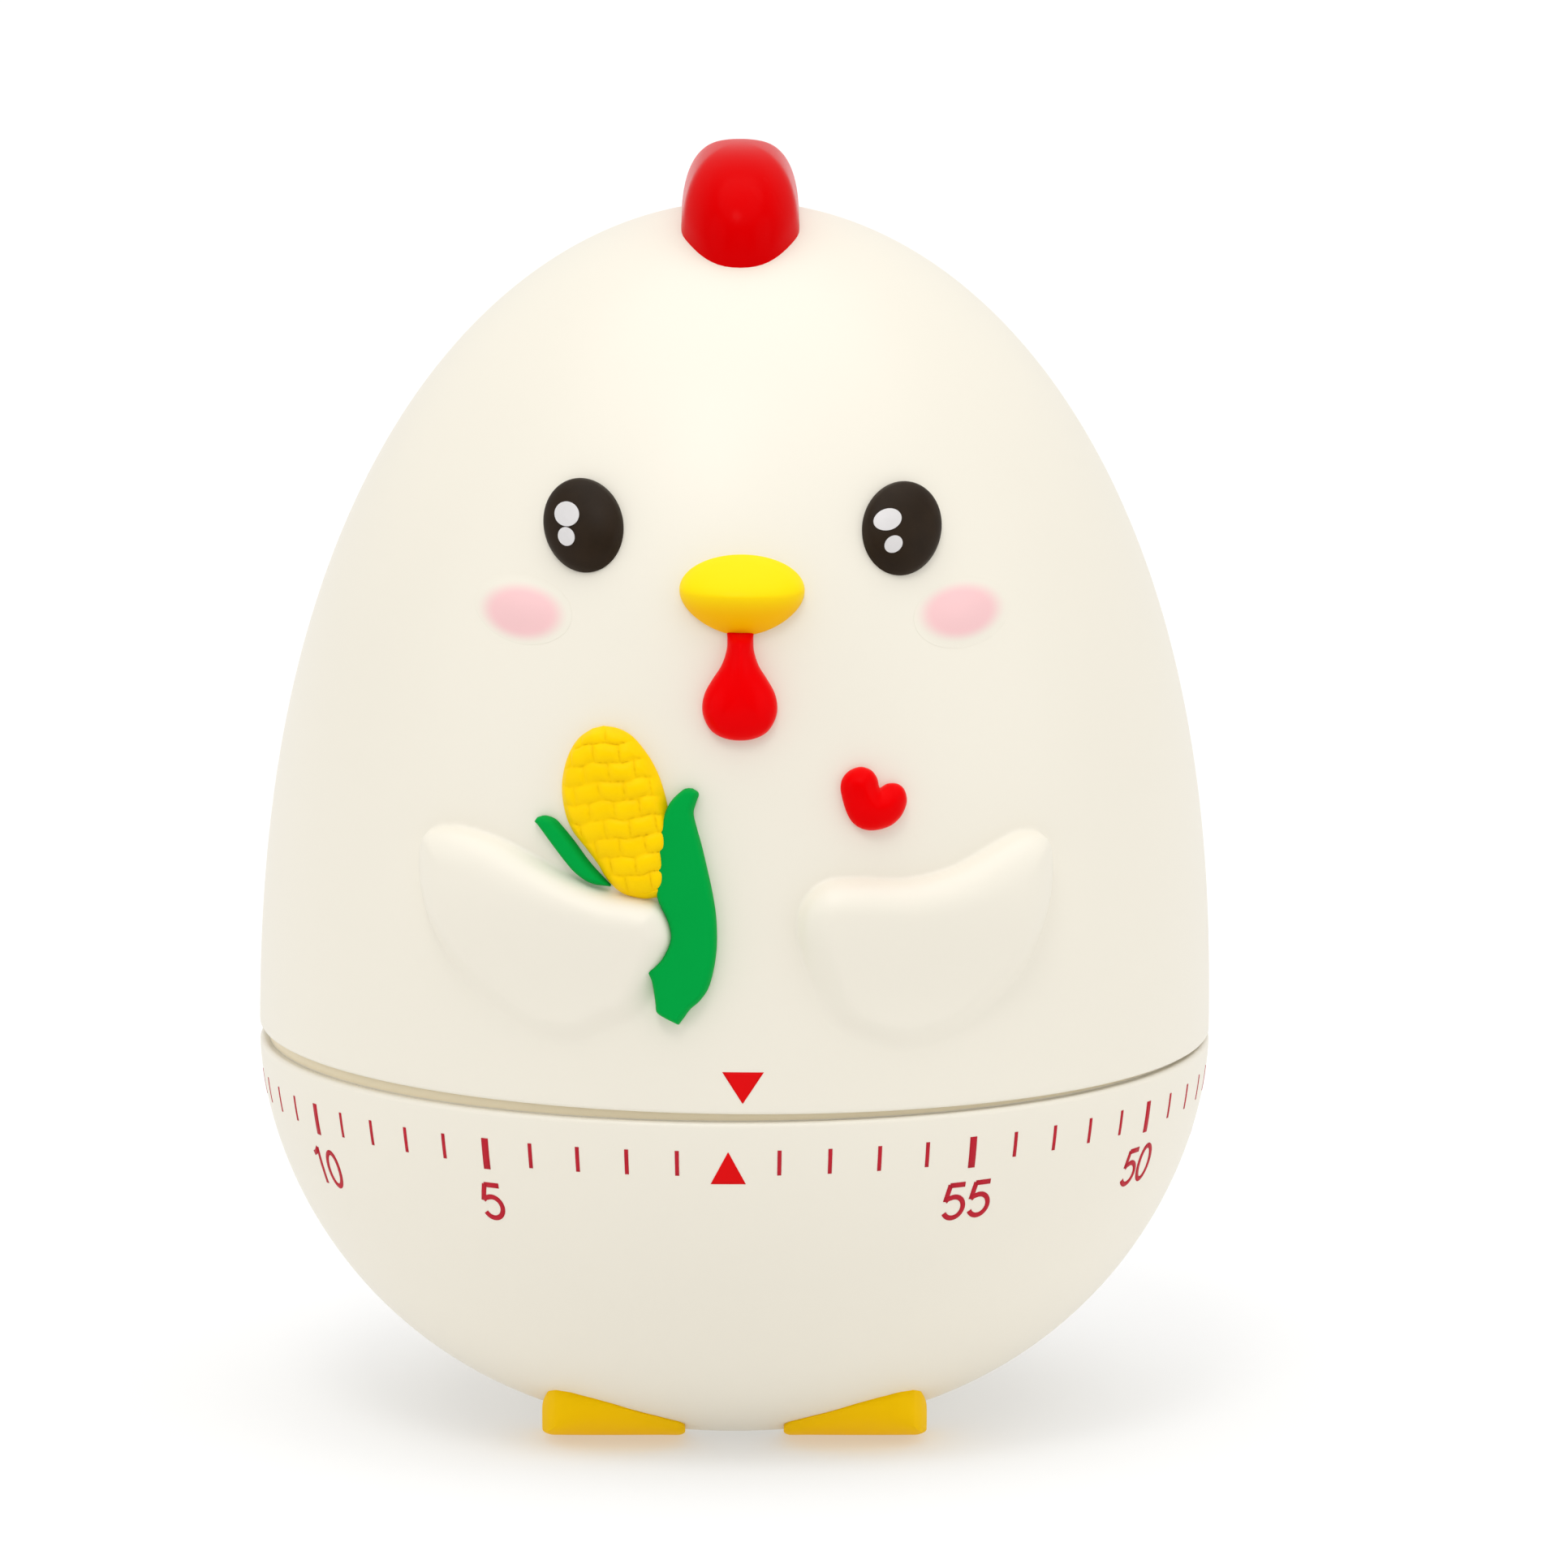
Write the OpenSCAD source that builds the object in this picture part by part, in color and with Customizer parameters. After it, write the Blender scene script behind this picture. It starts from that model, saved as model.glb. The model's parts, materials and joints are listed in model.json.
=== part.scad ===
// Egg-shaped hen kitchen timer: a clockwork bowl with a head that is turned to wind and set it.
// Millimetres. The axis is Z, the bottom of the bowl is z = 0 and the face looks along -Y.

/* [Egg] */
// Largest radius of the egg, at the seam
egg_r = 30.1; // [24:0.1:36]
// Height of the seam between the bowl and the head
seam_z = 24.3; // [20:0.1:28]
// Height of the head above the seam
head_h = 52.6; // [44:0.1:58]
// Depth that the bowl's curve would reach below the seam
bowl_h = 25.2; // [24.6:0.1:28]
// Gap between the two halves
seam_gap = 0.6; // [0.4:0.1:1.2]
// Thickness of the shell walls
wall = 1.8; // [1.4:0.1:2.4]

/* [Face] */
// Turn of the head's features from dead ahead, in degrees
face_turn = 0.95; // [-3:0.05:3]
// Distance of each eye from the middle
eye_x = 9.8; // [7:0.1:12]
// Height of the eyes
eye_z = 59.7; // [55:0.1:64]
// Height of the widest line of the beak
beak_z = 56.1; // [52:0.1:60]
// How far the beak stands out
beak_out = 2.6; // [1.5:0.1:3.5]
// Height that wings, corn and leaves stand out
relief = 1.2; // [0.6:0.1:1.6]

/* [Comb] */
// Half width of the comb
comb_w = 3.75; // [3:0.05:5]
// Half length of the comb
comb_l = 10.2; // [7:0.1:11]
// Height of the comb's top
comb_top = 80.85; // [79:0.05:84]

/* [Movement] */
// Radius of the two movement plates
plate_r = 20; // [19.6:0.1:20.4]
// Underside of the lower plate
low_z = 8.6; // [8.4:0.1:8.8]
// Underside of the upper plate
top_z = 19.6; // [19.4:0.1:19.8]
// Thickness of the plates
plate_t = 1; // [0.8:0.1:1]
// Radius of the winding arbor
arbor_r = 2.5; // [2.2:0.1:2.8]
// Running clearance of pivots in their holes
play = 0.05; // [0.03:0.01:0.08]

/* [Hidden] */
n_head = 20;
n_bowl = 16;
rim_up = seam_z + seam_gap / 2;
rim_low = seam_z - seam_gap / 2;
// Clock train: tooth modules, tooth counts and centres
m1 = 0.4;
m2 = 0.35;
m3 = 0.3;
great_n = 48;
second_n = 42;
third_n = 40;
pinion_n = 8;
d1 = m1 * (great_n + pinion_n) / 2;
d2 = m2 * (second_n + pinion_n) / 2;
d3 = m3 * (third_n + pinion_n) / 2;
a2_ang = 20;
a3_rad = 12;
a4_rad = 14.8;
a2 = polar(d1, a2_ang);
a3_ang = a2_ang + corner(d1, a3_rad, d2);
a3 = polar(a3_rad, a3_ang);
a4_ang = a3_ang + corner(a3_rad, a4_rad, d3);
a4 = polar(a4_rad, a4_ang);
// Escapement: twelve teeth and a lever with two pins
esc_n = 12;
esc_r = 4.5;
pin_r = 0.22;
pin_c = esc_r + pin_r + 0.13;
pin_half = 37.5;
lever_dir = 185;
lever_at = a4 + polar(pin_c / cos(pin_half), lever_dir);
// Alarm hammer
hammer_at = polar(15.6, -80);
hammer_tip = polar(12.9, -97.06);
// The bowl's lip, which stands up into a step inside the head's rim
lip_r = 29.1;
lip_top = 25.1;
boss_ang = [90, 210, 330];
boss_at = 24.3;
lug_at = 25.9;

// ---- shapes shared by the parts ----

function polar(r, a) = [r * cos(a), r * sin(a)];

// Angle at the centre between two arms whose ends are a distance apart
function corner(p, q, d) = acos((p * p + q * q - d * d) / (2 * p * q));

// Radius of the head at height z, for a surface moved outwards by d
function head_r(z, d) = (egg_r + d) * sqrt(max(0, 1 - pow(max(0, z - seam_z) / (head_h + d), 2.32)));

// Radius of the bowl at height z, for a surface moved outwards by d
function bowl_r(z, d) = (egg_r + d) * pow(max(0, 1 - pow((seam_z - z) / (bowl_h + d), 1.83)), 0.4292);

function head_pts(d) = [
    for (i = [0:n_head])
        let (t = 90 * i / n_head, z = max(rim_up, seam_z + (head_h + d) * sin(t)))
            [i == n_head ? 0 : head_r(z, d), z]
];

function bowl_pts(d, z0) = [
    for (i = [0:n_bowl])
        let (z = z0 + (rim_low - z0) * pow(i / n_bowl, 1.5))
            [bowl_r(z, d), z]
];

// A closed outline made smooth through its corner points
function mid(p, i, t) =
    let (n = len(p), a = p[(i + n - 1) % n], b = p[i], c = p[(i + 1) % n], e = p[(i + 2) % n])
        0.5 * (2 * b + (c - a) * t + (2 * a - 5 * b + 4 * c - e) * t * t
            + (3 * b - a - 3 * c + e) * t * t * t);

function smooth(p, k) = [for (i = [0:len(p) - 1]) for (j = [0:k - 1]) mid(p, i, j / k)];

function oval(x, z, a, b, n) = [for (i = [0:n - 1]) [x + a * cos(360 * i / n), z + b * sin(360 * i / n)]];

function squircle(a, b, p, n) = [
    for (i = [0:n - 1])
        let (c = cos(360 * i / n), s = sin(360 * i / n))
            [a * sign(c) * pow(abs(c), 2 / p), b * sign(s) * pow(abs(s), 2 / p)]
];

function flip(p) = [for (i = [len(p) - 1:-1:0]) [-p[i][0], p[i][1]]];

module head_solid(d) {
    rotate_extrude($fn = 96) polygon(concat([[0, rim_up]], head_pts(d)));
}

module bowl_solid(d) {
    rotate_extrude($fn = 96) polygon(concat([[0, 0]], bowl_pts(d, 0), [[0, rim_low]]));
}

// A bar through the front of the head, with its outline drawn in X and Z
module through(outline) {
    rotate([90, 0, 0]) linear_extrude(height = 40) polygon(outline);
}

// Raised relief on the head: the outline, from the surface out to a height h
module relief_pad(outline, h) {
    difference() {
        intersection() {
            through(outline);
            head_solid(h);
        }
        head_solid(0);
    }
}

module faced() {
    rotate([0, 0, face_turn]) children();
}

module at(p, z) {
    translate([p[0], p[1], z]) children();
}

module disc(r, z0, z1) {
    translate([0, 0, z0]) cylinder(h = z1 - z0, r = r, $fn = 64);
}

module screw(p, z0, z1, r_head, h_head, turned) {
    at(p, z0) difference() {
        union() {
            cylinder(h = z1 - z0, r = 1, $fn = 32);
            translate([0, 0, turned ? -h_head : z1 - z0]) cylinder(h = h_head, r = r_head, $fn = 32);
        }
        translate([-3, -0.25, turned ? -h_head - 1 : z1 - z0 + h_head * 0.5])
            cube([6, 0.5, 1 + h_head * 0.5]);
    }
}

// ---- outlines of the relief, in millimetres across and up ----

wing_right = [
    [18.55, 40.8], [17.0, 41.1], [14.9, 40.2], [12.9, 39.3], [10.1, 38.8], [7.0, 39.0], [5.1, 38.8],
    [3.9, 37.7], [3.55, 36.2], [3.9, 34.2], [4.6, 32.2], [5.6, 30.2], [7.3, 29.0], [9.5, 28.3],
    [12.0, 28.5], [14.2, 29.4], [16.2, 31.1], [17.8, 33.2], [18.7, 35.8], [19.0, 39.0]
];
wing_left = flip([
    [19.0, 40.7], [17.2, 41.1], [14.9, 40.7], [12.9, 39.9], [10.1, 38.7], [8.0, 38.0], [5.9, 37.7],
    [4.9, 37.1], [4.35, 35.5], [4.8, 33.6], [5.5, 31.6], [6.3, 30.2], [7.9, 29.4], [9.6, 28.5],
    [12.0, 28.5], [14.2, 29.4], [16.3, 31.1], [18.0, 33.2], [19.1, 35.6], [19.5, 39.0]
]);
cob = [
    [-8.2, 48.2], [-9.9, 46.9], [-10.8, 44.2], [-10.5, 42.2], [-9.1, 40.0], [-8.3, 39.0],
    [-7.3, 38.1], [-5.9, 37.7], [-4.9, 38.2], [-4.7, 41.0], [-4.7, 44.3], [-6.0, 47.1]
];
leaf_large = [
    [-2.8, 44.5], [-4.1, 43.8], [-4.8, 42.0], [-5.1, 39.6], [-5.0, 37.8], [-4.4, 36.4], [-4.3, 35.3],
    [-4.7, 34.2], [-5.6, 33.2], [-5.4, 31.4], [-4.0, 30.1], [-3.0, 31.0], [-2.1, 32.3],
    [-1.5, 34.4], [-1.6, 37.3], [-2.3, 41.1], [-2.8, 43.1]
];
leaf_small = [[-12.6, 42.6], [-11.9, 42.7], [-10.6, 41.2], [-8.2, 38.5], [-9.6, 38.6], [-11.4, 40.7]];
heart_line = [
    [7.2, 45.8], [8.3, 44.7], [9.2, 44.7], [10.0, 43.6], [9.4, 42.3], [8.1, 41.8], [7.0, 42.1],
    [6.3, 43.1], [6.0, 44.6]
];

// ---- the head and what is on it ----

module upper_shell() {
    color([0.93, 0.91, 0.85]) difference() {
        union() {
            difference() {
                head_solid(0);
                translate([0, 0, -0.01]) head_solid(-wall);
                disc(lip_r + 0.3, rim_up - 1, lip_top + 0.4);
            }
            intersection() {
                head_solid(-wall / 2);
                for (a = boss_ang) at(polar(lug_at, a), 31) cylinder(h = 11, r = 2.7, $fn = 32);
            }
            faced() for (w = [wing_right, wing_left]) difference() {
                intersection() {
                    through(w);
                    head_solid(relief);
                }
                head_solid(-wall / 2);
            }
        }
        for (a = boss_ang) at(polar(lug_at, a), 30) cylinder(h = 8, r = 1.05, $fn = 24);
        translate([0.4, 0, 70]) cylinder(h = 12, r = 2, $fn = 32);
    }
}

module comb() {
    color([0.84, 0.02, 0.02]) translate([0.4, 0, 0]) union() {
        difference() {
            intersection() {
                translate([0, 0, 70]) linear_extrude(height = 14)
                    polygon(squircle(comb_w, comb_l, 2.7, 32));
                translate([0, 20, 75.5]) rotate([90, 0, 0]) linear_extrude(height = 40)
                    polygon(comb_cut(comb_w, comb_top - 75.5, 3.2));
                translate([-20, 0, 72.5]) rotate([90, 0, 90]) linear_extrude(height = 40)
                    polygon(comb_cut(comb_l + 0.2, comb_top - 72.5, 2.4));
            }
            translate([-0.4, 0, 0]) head_solid(0);
        }
        translate([0, 0, 75]) cylinder(h = 4, r = 1.95, $fn = 32);
    }
}

// The rounded top of the comb, standing on a straight-sided foot
function comb_cut(a, h, p) = concat(
    [for (i = [0:16]) let (t = 180 * i / 16)
        [a * sign(cos(t)) * pow(abs(cos(t)), 2 / p), h * pow(sin(t), 2 / p)]],
    [[-a, -6], [a, -6]]
);

module eye(x) {
    y = -sqrt(pow(head_r(eye_z, 0), 2) - x * x);
    color([0.13, 0.09, 0.06]) faced() difference() {
        intersection() {
            through(oval(x, eye_z, 2.45, 2.8, 28));
            translate([x * 0.84, y * 0.9, eye_z - 1.15]) sphere(r = 4.0, $fn = 64);
        }
        head_solid(0);
    }
}

module eye_left() {
    eye(-eye_x);
}

module eye_right() {
    eye(eye_x);
}

module beak() {
    y = -head_r(beak_z, 0);
    color([0.95, 0.78, 0.03]) faced() difference() {
        intersection() {
            through(oval(0, beak_z, 3.85, 2.45, 32));
            translate([0, y + 7.02 - beak_out, beak_z]) scale([1.0, 1.08, 0.55]) sphere(r = 6.5, $fn = 64);
        }
        head_solid(0);
    }
}

module wattle() {
    y = -head_r(49.6, 0);
    color([0.88, 0.01, 0.02]) faced() difference() {
        union() {
            relief_pad(smooth([[-0.7, 53.9], [-0.75, 52.6], [-1.5, 51.0], [-2.3, 49.4], [-1.6, 47.8],
                [0, 47.3], [1.6, 47.8], [2.3, 49.4], [1.5, 51.0], [0.75, 52.6], [0.7, 53.9]], 2), 0.9);
            intersection() {
                through(oval(0, 49.4, 1.9, 1.7, 24));
                translate([0, y + 1.4, 49.2]) sphere(r = 3, $fn = 64);
            }
        }
        head_solid(0);
        through(oval(0, beak_z, 3.85, 2.45, 32));
    }
}

module cheek(x) {
    color([0.96, 0.72, 0.72]) faced() relief_pad(oval(x, 54.5, 2.35, 1.75, 28), 0.5);
}

module cheek_left() {
    cheek(-13.5);
}

module cheek_right() {
    cheek(13.5);
}

module corn_cob() {
    color([0.98, 0.75, 0.03]) faced() difference() {
        relief_pad(smooth(cob, 2), 1.3);
        through(leaf_large);
        through(wing_left);
    }
}

module corn_leaf_large() {
    color([0.03, 0.62, 0.25]) faced() difference() {
        relief_pad(leaf_large, 1.0);
        through(wing_left);
    }
}

module corn_leaf_small() {
    color([0.03, 0.62, 0.25]) faced() difference() {
        relief_pad(leaf_small, 0.8);
        through(smooth(cob, 2));
        through(wing_left);
    }
}

module heart() {
    color([0.90, 0.02, 0.03]) faced() relief_pad(smooth(heart_line, 2), 1.1);
}

// ---- what turns with the head ----

module drive_disc() {
    color([0.90, 0.88, 0.82]) difference() {
        union() {
            disc(27.4, 29, 31);
            disc(5, 24.4, 29);
        }
        difference() {
            disc(arbor_r, 20, 31.5);
            translate([arbor_r * 0.7, -5, 19]) cube([5, 10, 14]);
        }
        for (a = boss_ang) at(polar(lug_at, a), 28) cylinder(h = 4, r = 1.05, $fn = 24);
        for (a = boss_ang) at(polar(14.5, a + 60), 28) cylinder(h = 4, r = 5, $fn = 48);
    }
}

module drive_screw(a) {
    color([0.72, 0.73, 0.75]) screw(polar(lug_at, a), 29, 36, 1.9, 1, true);
}

module drive_screw_1() {
    drive_screw(boss_ang[0]);
}

module drive_screw_2() {
    drive_screw(boss_ang[1]);
}

module drive_screw_3() {
    drive_screw(boss_ang[2]);
}

module arbor_screw() {
    color([0.72, 0.73, 0.75]) screw([0, 0], 26.5, 31, 3.4, 1.2, false);
}

module main_arbor() {
    color([0.70, 0.71, 0.73]) difference() {
        union() {
            disc(1.5, low_z, low_z + plate_t + play);
            disc(arbor_r, low_z + plate_t + play, 31);
        }
        translate([arbor_r * 0.7, -5, 24.2]) cube([5, 10, 14]);
        disc(1, 26, 32);
    }
}

module ratchet_wheel() {
    color([0.76, 0.62, 0.30]) difference() {
        translate([0, 0, 14.1]) linear_extrude(height = 1) polygon([
            for (i = [0:15], s = [0, 1]) polar(s == 0 ? 3.9 : 3.1, 153 + 22.5 * i + s * 0.4)
        ]);
        disc(arbor_r, 14, 15.2);
    }
}

// A spur wheel cut as straight-sided teeth, with one tooth pointing along ang
module gear(n, m, z0, z1, ang, tip, root, w_tip, w_mid, w_root) {
    p = n * m / 2;
    translate([0, 0, z0]) rotate([0, 0, ang]) linear_extrude(height = z1 - z0) polygon([
        for (i = [0:n - 1], k = [[-1, w_root, -root], [-1, w_mid, 0], [-1, w_tip, tip],
            [1, w_tip, tip], [1, w_mid, 0], [1, w_root, -root]])
            polar(p + k[2] * m, 360 * i / n + k[0] * k[1] * 180 / n)
    ]);
}

module wheel_teeth(n, m, z0, z1, ang) {
    gear(n, m, z0, z1, ang, 0.7, 1.2, 0.16, 0.40, 0.52);
}

module pinion_teeth(m, z0, z1, ang) {
    gear(pinion_n, m, z0, z1, ang, 0.62, 1.25, 0.16, 0.34, 0.40);
}

// Four round windows that lighten a wheel
module windows(p, z, at_r, r, turn) {
    for (a = [0:90:270]) at(p + polar(at_r, a + turn), z) cylinder(h = 3, r = r, $fn = 32);
}

module great_wheel() {
    color([0.76, 0.62, 0.30]) difference() {
        wheel_teeth(great_n, m1, 15.2, 16.2, a2_ang);
        disc(arbor_r, 15, 16.4);
        at(polar(7, 203), 15) cylinder(h = 2, r = 0.6, $fn = 24);
        at(polar(7.2, 238), 15) cylinder(h = 2, r = 0.4, $fn = 24);
        for (a = [0, 90, 300]) at(polar(6, a + 20), 15) cylinder(h = 2, r = 1.7, $fn = 32);
    }
}

module click_stud() {
    color([0.70, 0.71, 0.73]) at(polar(7, 203), 13.5) union() {
        translate([0, 0, 0.6]) cylinder(h = 2.1, r = 0.6, $fn = 24);
        cylinder(h = 0.55, r = 1, $fn = 24);
        cylinder(h = 1, r = 0.6, $fn = 24);
    }
}

module click_spring() {
    color([0.70, 0.71, 0.73]) union() {
        at(polar(7.2, 238), 14.3) cylinder(h = 1.9, r = 0.4, $fn = 24);
        translate([0, 0, 14.4]) linear_extrude(height = 0.5) polygon([
            polar(7.5, 238), polar(8.75, 216), polar(8.8, 200), polar(7.9, 184), polar(6.9, 174),
            polar(6.75, 174.5), polar(7.7, 185), polar(8.6, 200), polar(8.55, 215), polar(7.1, 236)
        ]);
    }
}

module click() {
    color([0.62, 0.63, 0.66]) translate([0, 0, 14.15]) difference() {
        union() {
            linear_extrude(height = 0.9) polygon([
                polar(3.35, 154.4), polar(4.15, 170), polar(5.2, 186), polar(6.4, 197),
                polar(7.6, 196), polar(6.2, 179), polar(5.2, 164), polar(4.4, 154.4)
            ]);
            at(polar(7, 203), 0) cylinder(h = 0.9, r = 1.1, $fn = 32);
        }
        at(polar(7, 203), -1) cylinder(h = 3, r = 0.6 + play, $fn = 24);
    }
}

// ---- the bowl and what is fixed in it ----

module lower_shell() {
    inner = [for (p = bowl_pts(-wall, 2)) if (p[1] < 20.4) p];
    color([0.90, 0.88, 0.82]) difference() {
        union() {
            difference() {
                union() {
                    bowl_solid(0);
                    disc(lip_r, rim_low - 0.5, lip_top);
                }
                rotate_extrude($fn = 96) polygon(concat(
                    [[0, 2]], inner, [[27.0, 21.2], [27.0, 22], [28.1, 22], [28.1, 30], [0, 30]]));
            }
            intersection() {
                bowl_solid(-wall / 2);
                for (a = boss_ang) union() {
                    at(polar(boss_at, a), 4) cylinder(h = top_z - 4, r = 2.7, $fn = 32);
                    rotate([0, 0, a]) translate([boss_at, -1, 4]) cube([6, 2, top_z - 4]);
                }
            }
            disc(2.4, 1, 6.4);
        }
        for (a = boss_ang) at(polar(boss_at, a), 14) cylinder(h = 8, r = 1.05, $fn = 24);
        disc(1.05, 2.6, 8);
    }
}

module foot(s) {
    color([0.92, 0.68, 0.03]) difference() {
        intersection() {
            linear_extrude(height = 5) polygon([
                [s * 3.2, -13.5], [s * 4.9, -14.4], [s * 6.9, -15.1], [s * 11, -15.2],
                [s * 11.8, -14.6], [s * 12.1, -13.8], [s * 12.1, -5.2], [s * 10.4, -3.4], [s * 6, -6.8]
            ]);
            translate([-15, 0, 0]) rotate([90, 0, 90]) linear_extrude(height = 30)
                polygon([
                    [-10.4, 0], [-12, 0.25], [-13, 0.65], [-13.6, 1.05], [-14.4, 1.7], [-15.2, 2.45],
                    [-15.2, 5], [-2, 5], [-2, 0]
                ]);
        }
        bowl_solid(0);
    }
}

module foot_left() {
    foot(-1);
}

module foot_right() {
    foot(1);
}

module deck() {
    color([0.80, 0.76, 0.66]) difference() {
        union() {
            disc(28, 22, 23.6);
            disc(27.9, 23.6, 26.6);
        }
        disc(26.7, 23.6, 28);
        disc(3, 21, 24);
    }
}

module mount_plate() {
    color([0.76, 0.62, 0.30]) difference() {
        union() {
            disc(plate_r, top_z, top_z + plate_t);
            for (a = boss_ang) {
                at(polar(boss_at, a), top_z) cylinder(h = plate_t, r = 2.6, $fn = 32);
                rotate([0, 0, a]) translate([15, -2.2, top_z]) cube([boss_at - 15, 4.4, plate_t]);
            }
        }
        disc(arbor_r + play, 19, 22);
        for (a = boss_ang) at(polar(boss_at, a), 19) cylinder(h = 3, r = 1.05, $fn = 24);
        for (p = [a2, a3, a4, hammer_at]) at(p, 19) cylinder(h = 3, r = 0.5 + play, $fn = 24);
        at(lever_at, 19) cylinder(h = 3, r = 0.4 + play, $fn = 24);
        for (a = [45, 150, 235, 320]) at(polar(18.4, a), 19) cylinder(h = 3, r = 0.7, $fn = 24);
    }
}

module bottom_plate() {
    color([0.76, 0.62, 0.30]) difference() {
        disc(plate_r, low_z, low_z + plate_t);
        disc(1.5 + play, 8, 10);
        for (p = [a2, a3, a4]) at(p, 8) cylinder(h = 3, r = 0.5 + play, $fn = 24);
        at(lever_at, 8) cylinder(h = 3, r = 0.4 + play, $fn = 24);
        at(hammer_at, 8) cylinder(h = 3, r = 0.8 + play, $fn = 24);
        at(polar(10.6, 250), 8) cylinder(h = 3, r = 0.6, $fn = 24);
        for (a = [45, 150, 235, 320]) at(polar(18.4, a), 8) cylinder(h = 3, r = 0.7, $fn = 24);
    }
}

module pillar(a) {
    color([0.70, 0.71, 0.73]) at(polar(18.4, a), 0) union() {
        translate([0, 0, low_z + plate_t]) cylinder(h = top_z - low_z - plate_t, r = 1.2, $fn = 32);
        translate([0, 0, low_z]) cylinder(h = top_z - low_z + plate_t, r = 0.7, $fn = 24);
    }
}

module pillar_1() {
    pillar(45);
}

module pillar_2() {
    pillar(150);
}

module pillar_3() {
    pillar(235);
}

module pillar_4() {
    pillar(320);
}

module plate_screw(a) {
    color([0.72, 0.73, 0.75]) screw(polar(boss_at, a), 15, top_z + plate_t, 1.9, 1, false);
}

module plate_screw_1() {
    plate_screw(boss_ang[0]);
}

module plate_screw_2() {
    plate_screw(boss_ang[1]);
}

module plate_screw_3() {
    plate_screw(boss_ang[2]);
}

module bell() {
    color([0.78, 0.78, 0.80]) rotate_extrude($fn = 96) polygon([
        [11, 3.4], [11, 5], [10.5, 6.2], [9.2, 6.85], [7.2, 7], [1.1, 7], [1.1, 6.4], [7.1, 6.4],
        [8.9, 6.27], [9.95, 5.75], [10.4, 4.8], [10.4, 3.4]
    ]);
}

module bell_screw() {
    color([0.72, 0.73, 0.75]) screw([0, 0], 3, 7, 2.4, 0.9, false);
}

// A flat strip wound from the arbor out to its post
module mainspring() {
    turns = 6.5;
    function coil(t, s) = polar(2.78 + 6.87 * t + s * 0.125, 250 - 360 * turns * (1 - t));
    color([0.55, 0.56, 0.60]) translate([0, 0, 10.2]) linear_extrude(height = 3) polygon(concat(
        [for (i = [0:104]) coil(i / 104, -1)],
        [for (i = [104:-1:0]) coil(i / 104, 1)]
    ));
}

module spring_post() {
    color([0.70, 0.71, 0.73]) at(polar(10.6, 250), 0) union() {
        translate([0, 0, low_z]) cylinder(h = 3, r = 0.6, $fn = 24);
        translate([0, 0, low_z + plate_t]) cylinder(h = 4, r = 0.8, $fn = 24);
    }
}

// ---- the clock train ----

module arbor(p) {
    at(p, 0) union() {
        translate([0, 0, low_z]) cylinder(h = top_z - low_z + plate_t, r = 0.5, $fn = 24);
        translate([0, 0, low_z + plate_t + play])
            cylinder(h = top_z - low_z - plate_t - 2 * play, r = 0.8, $fn = 24);
    }
}

module second_arbor() {
    color([0.70, 0.71, 0.73]) union() {
        arbor(a2);
        at(a2, 0) pinion_teeth(m1, 14.9, 16.5, a2_ang + 180 + 180 / pinion_n);
    }
}

function toward(p, q) = atan2(q[1] - p[1], q[0] - p[0]);

module second_wheel() {
    color([0.76, 0.62, 0.30]) difference() {
        at(a2, 0) wheel_teeth(second_n, m2, 17, 17.7, toward(a2, a3));
        at(a2, 16) cylinder(h = 3, r = 0.8, $fn = 24);
        windows(a2, 16, 4.2, 1.9, 10);
    }
}

module third_arbor() {
    color([0.70, 0.71, 0.73]) union() {
        arbor(a3);
        at(a3, 0) pinion_teeth(m2, 16.8, 17.9, toward(a3, a2) + 180 / pinion_n);
    }
}

module third_wheel() {
    color([0.76, 0.62, 0.30]) difference() {
        at(a3, 0) wheel_teeth(third_n, m3, 18.3, 19, toward(a3, a4));
        at(a3, 17) cylinder(h = 3, r = 0.8, $fn = 24);
        windows(a3, 17, 3.4, 1.5, 30);
    }
}

module escape_arbor() {
    color([0.70, 0.71, 0.73]) union() {
        arbor(a4);
        at(a4, 0) pinion_teeth(m3, 18.1, 19.2, toward(a4, a3) + 180 / pinion_n);
    }
}

module escape_wheel() {
    color([0.76, 0.62, 0.30]) difference() {
        at(a4, 13.9) linear_extrude(height = 0.8) polygon([
            for (i = [0:esc_n - 1], k = [[3, -8], [esc_r, -1.5], [esc_r, 1.5], [3, 8]])
                polar(k[0], lever_dir + 15 + 30 * i + k[1])
        ]);
        at(a4, 13) cylinder(h = 3, r = 0.8, $fn = 24);
    }
}

module lever_arbor() {
    color([0.70, 0.71, 0.73]) at(lever_at, 0) union() {
        translate([0, 0, low_z]) cylinder(h = top_z - low_z + plate_t, r = 0.4, $fn = 24);
        translate([0, 0, low_z + plate_t + play])
            cylinder(h = top_z - low_z - plate_t - 2 * play, r = 0.6, $fn = 24);
    }
}

module pallet_lever() {
    pins = [for (s = [-1, 1]) a4 + polar(pin_c, lever_dir + s * pin_half)];
    tail = lever_at + polar(5.6, 178);
    color([0.62, 0.63, 0.66]) difference() {
        union() {
            for (p = pins) {
                at(p, 12.6) cylinder(h = 2.3, r = pin_r, $fn = 20);
                at(p, 12.6) cylinder(h = 0.8, r = 0.55, $fn = 24);
                bar(lever_at, p, 0.9, 12.6, 13.4);
            }
            bar(lever_at, tail, 1.2, 12.6, 13.4);
            at(lever_at, 12.4) cylinder(h = 1.2, r = 1.3, $fn = 32);
            at(tail, 12.3) cylinder(h = 1.4, r = 1.4, $fn = 32);
        }
        at(lever_at, 12) cylinder(h = 3, r = 0.6, $fn = 24);
    }
}

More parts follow.
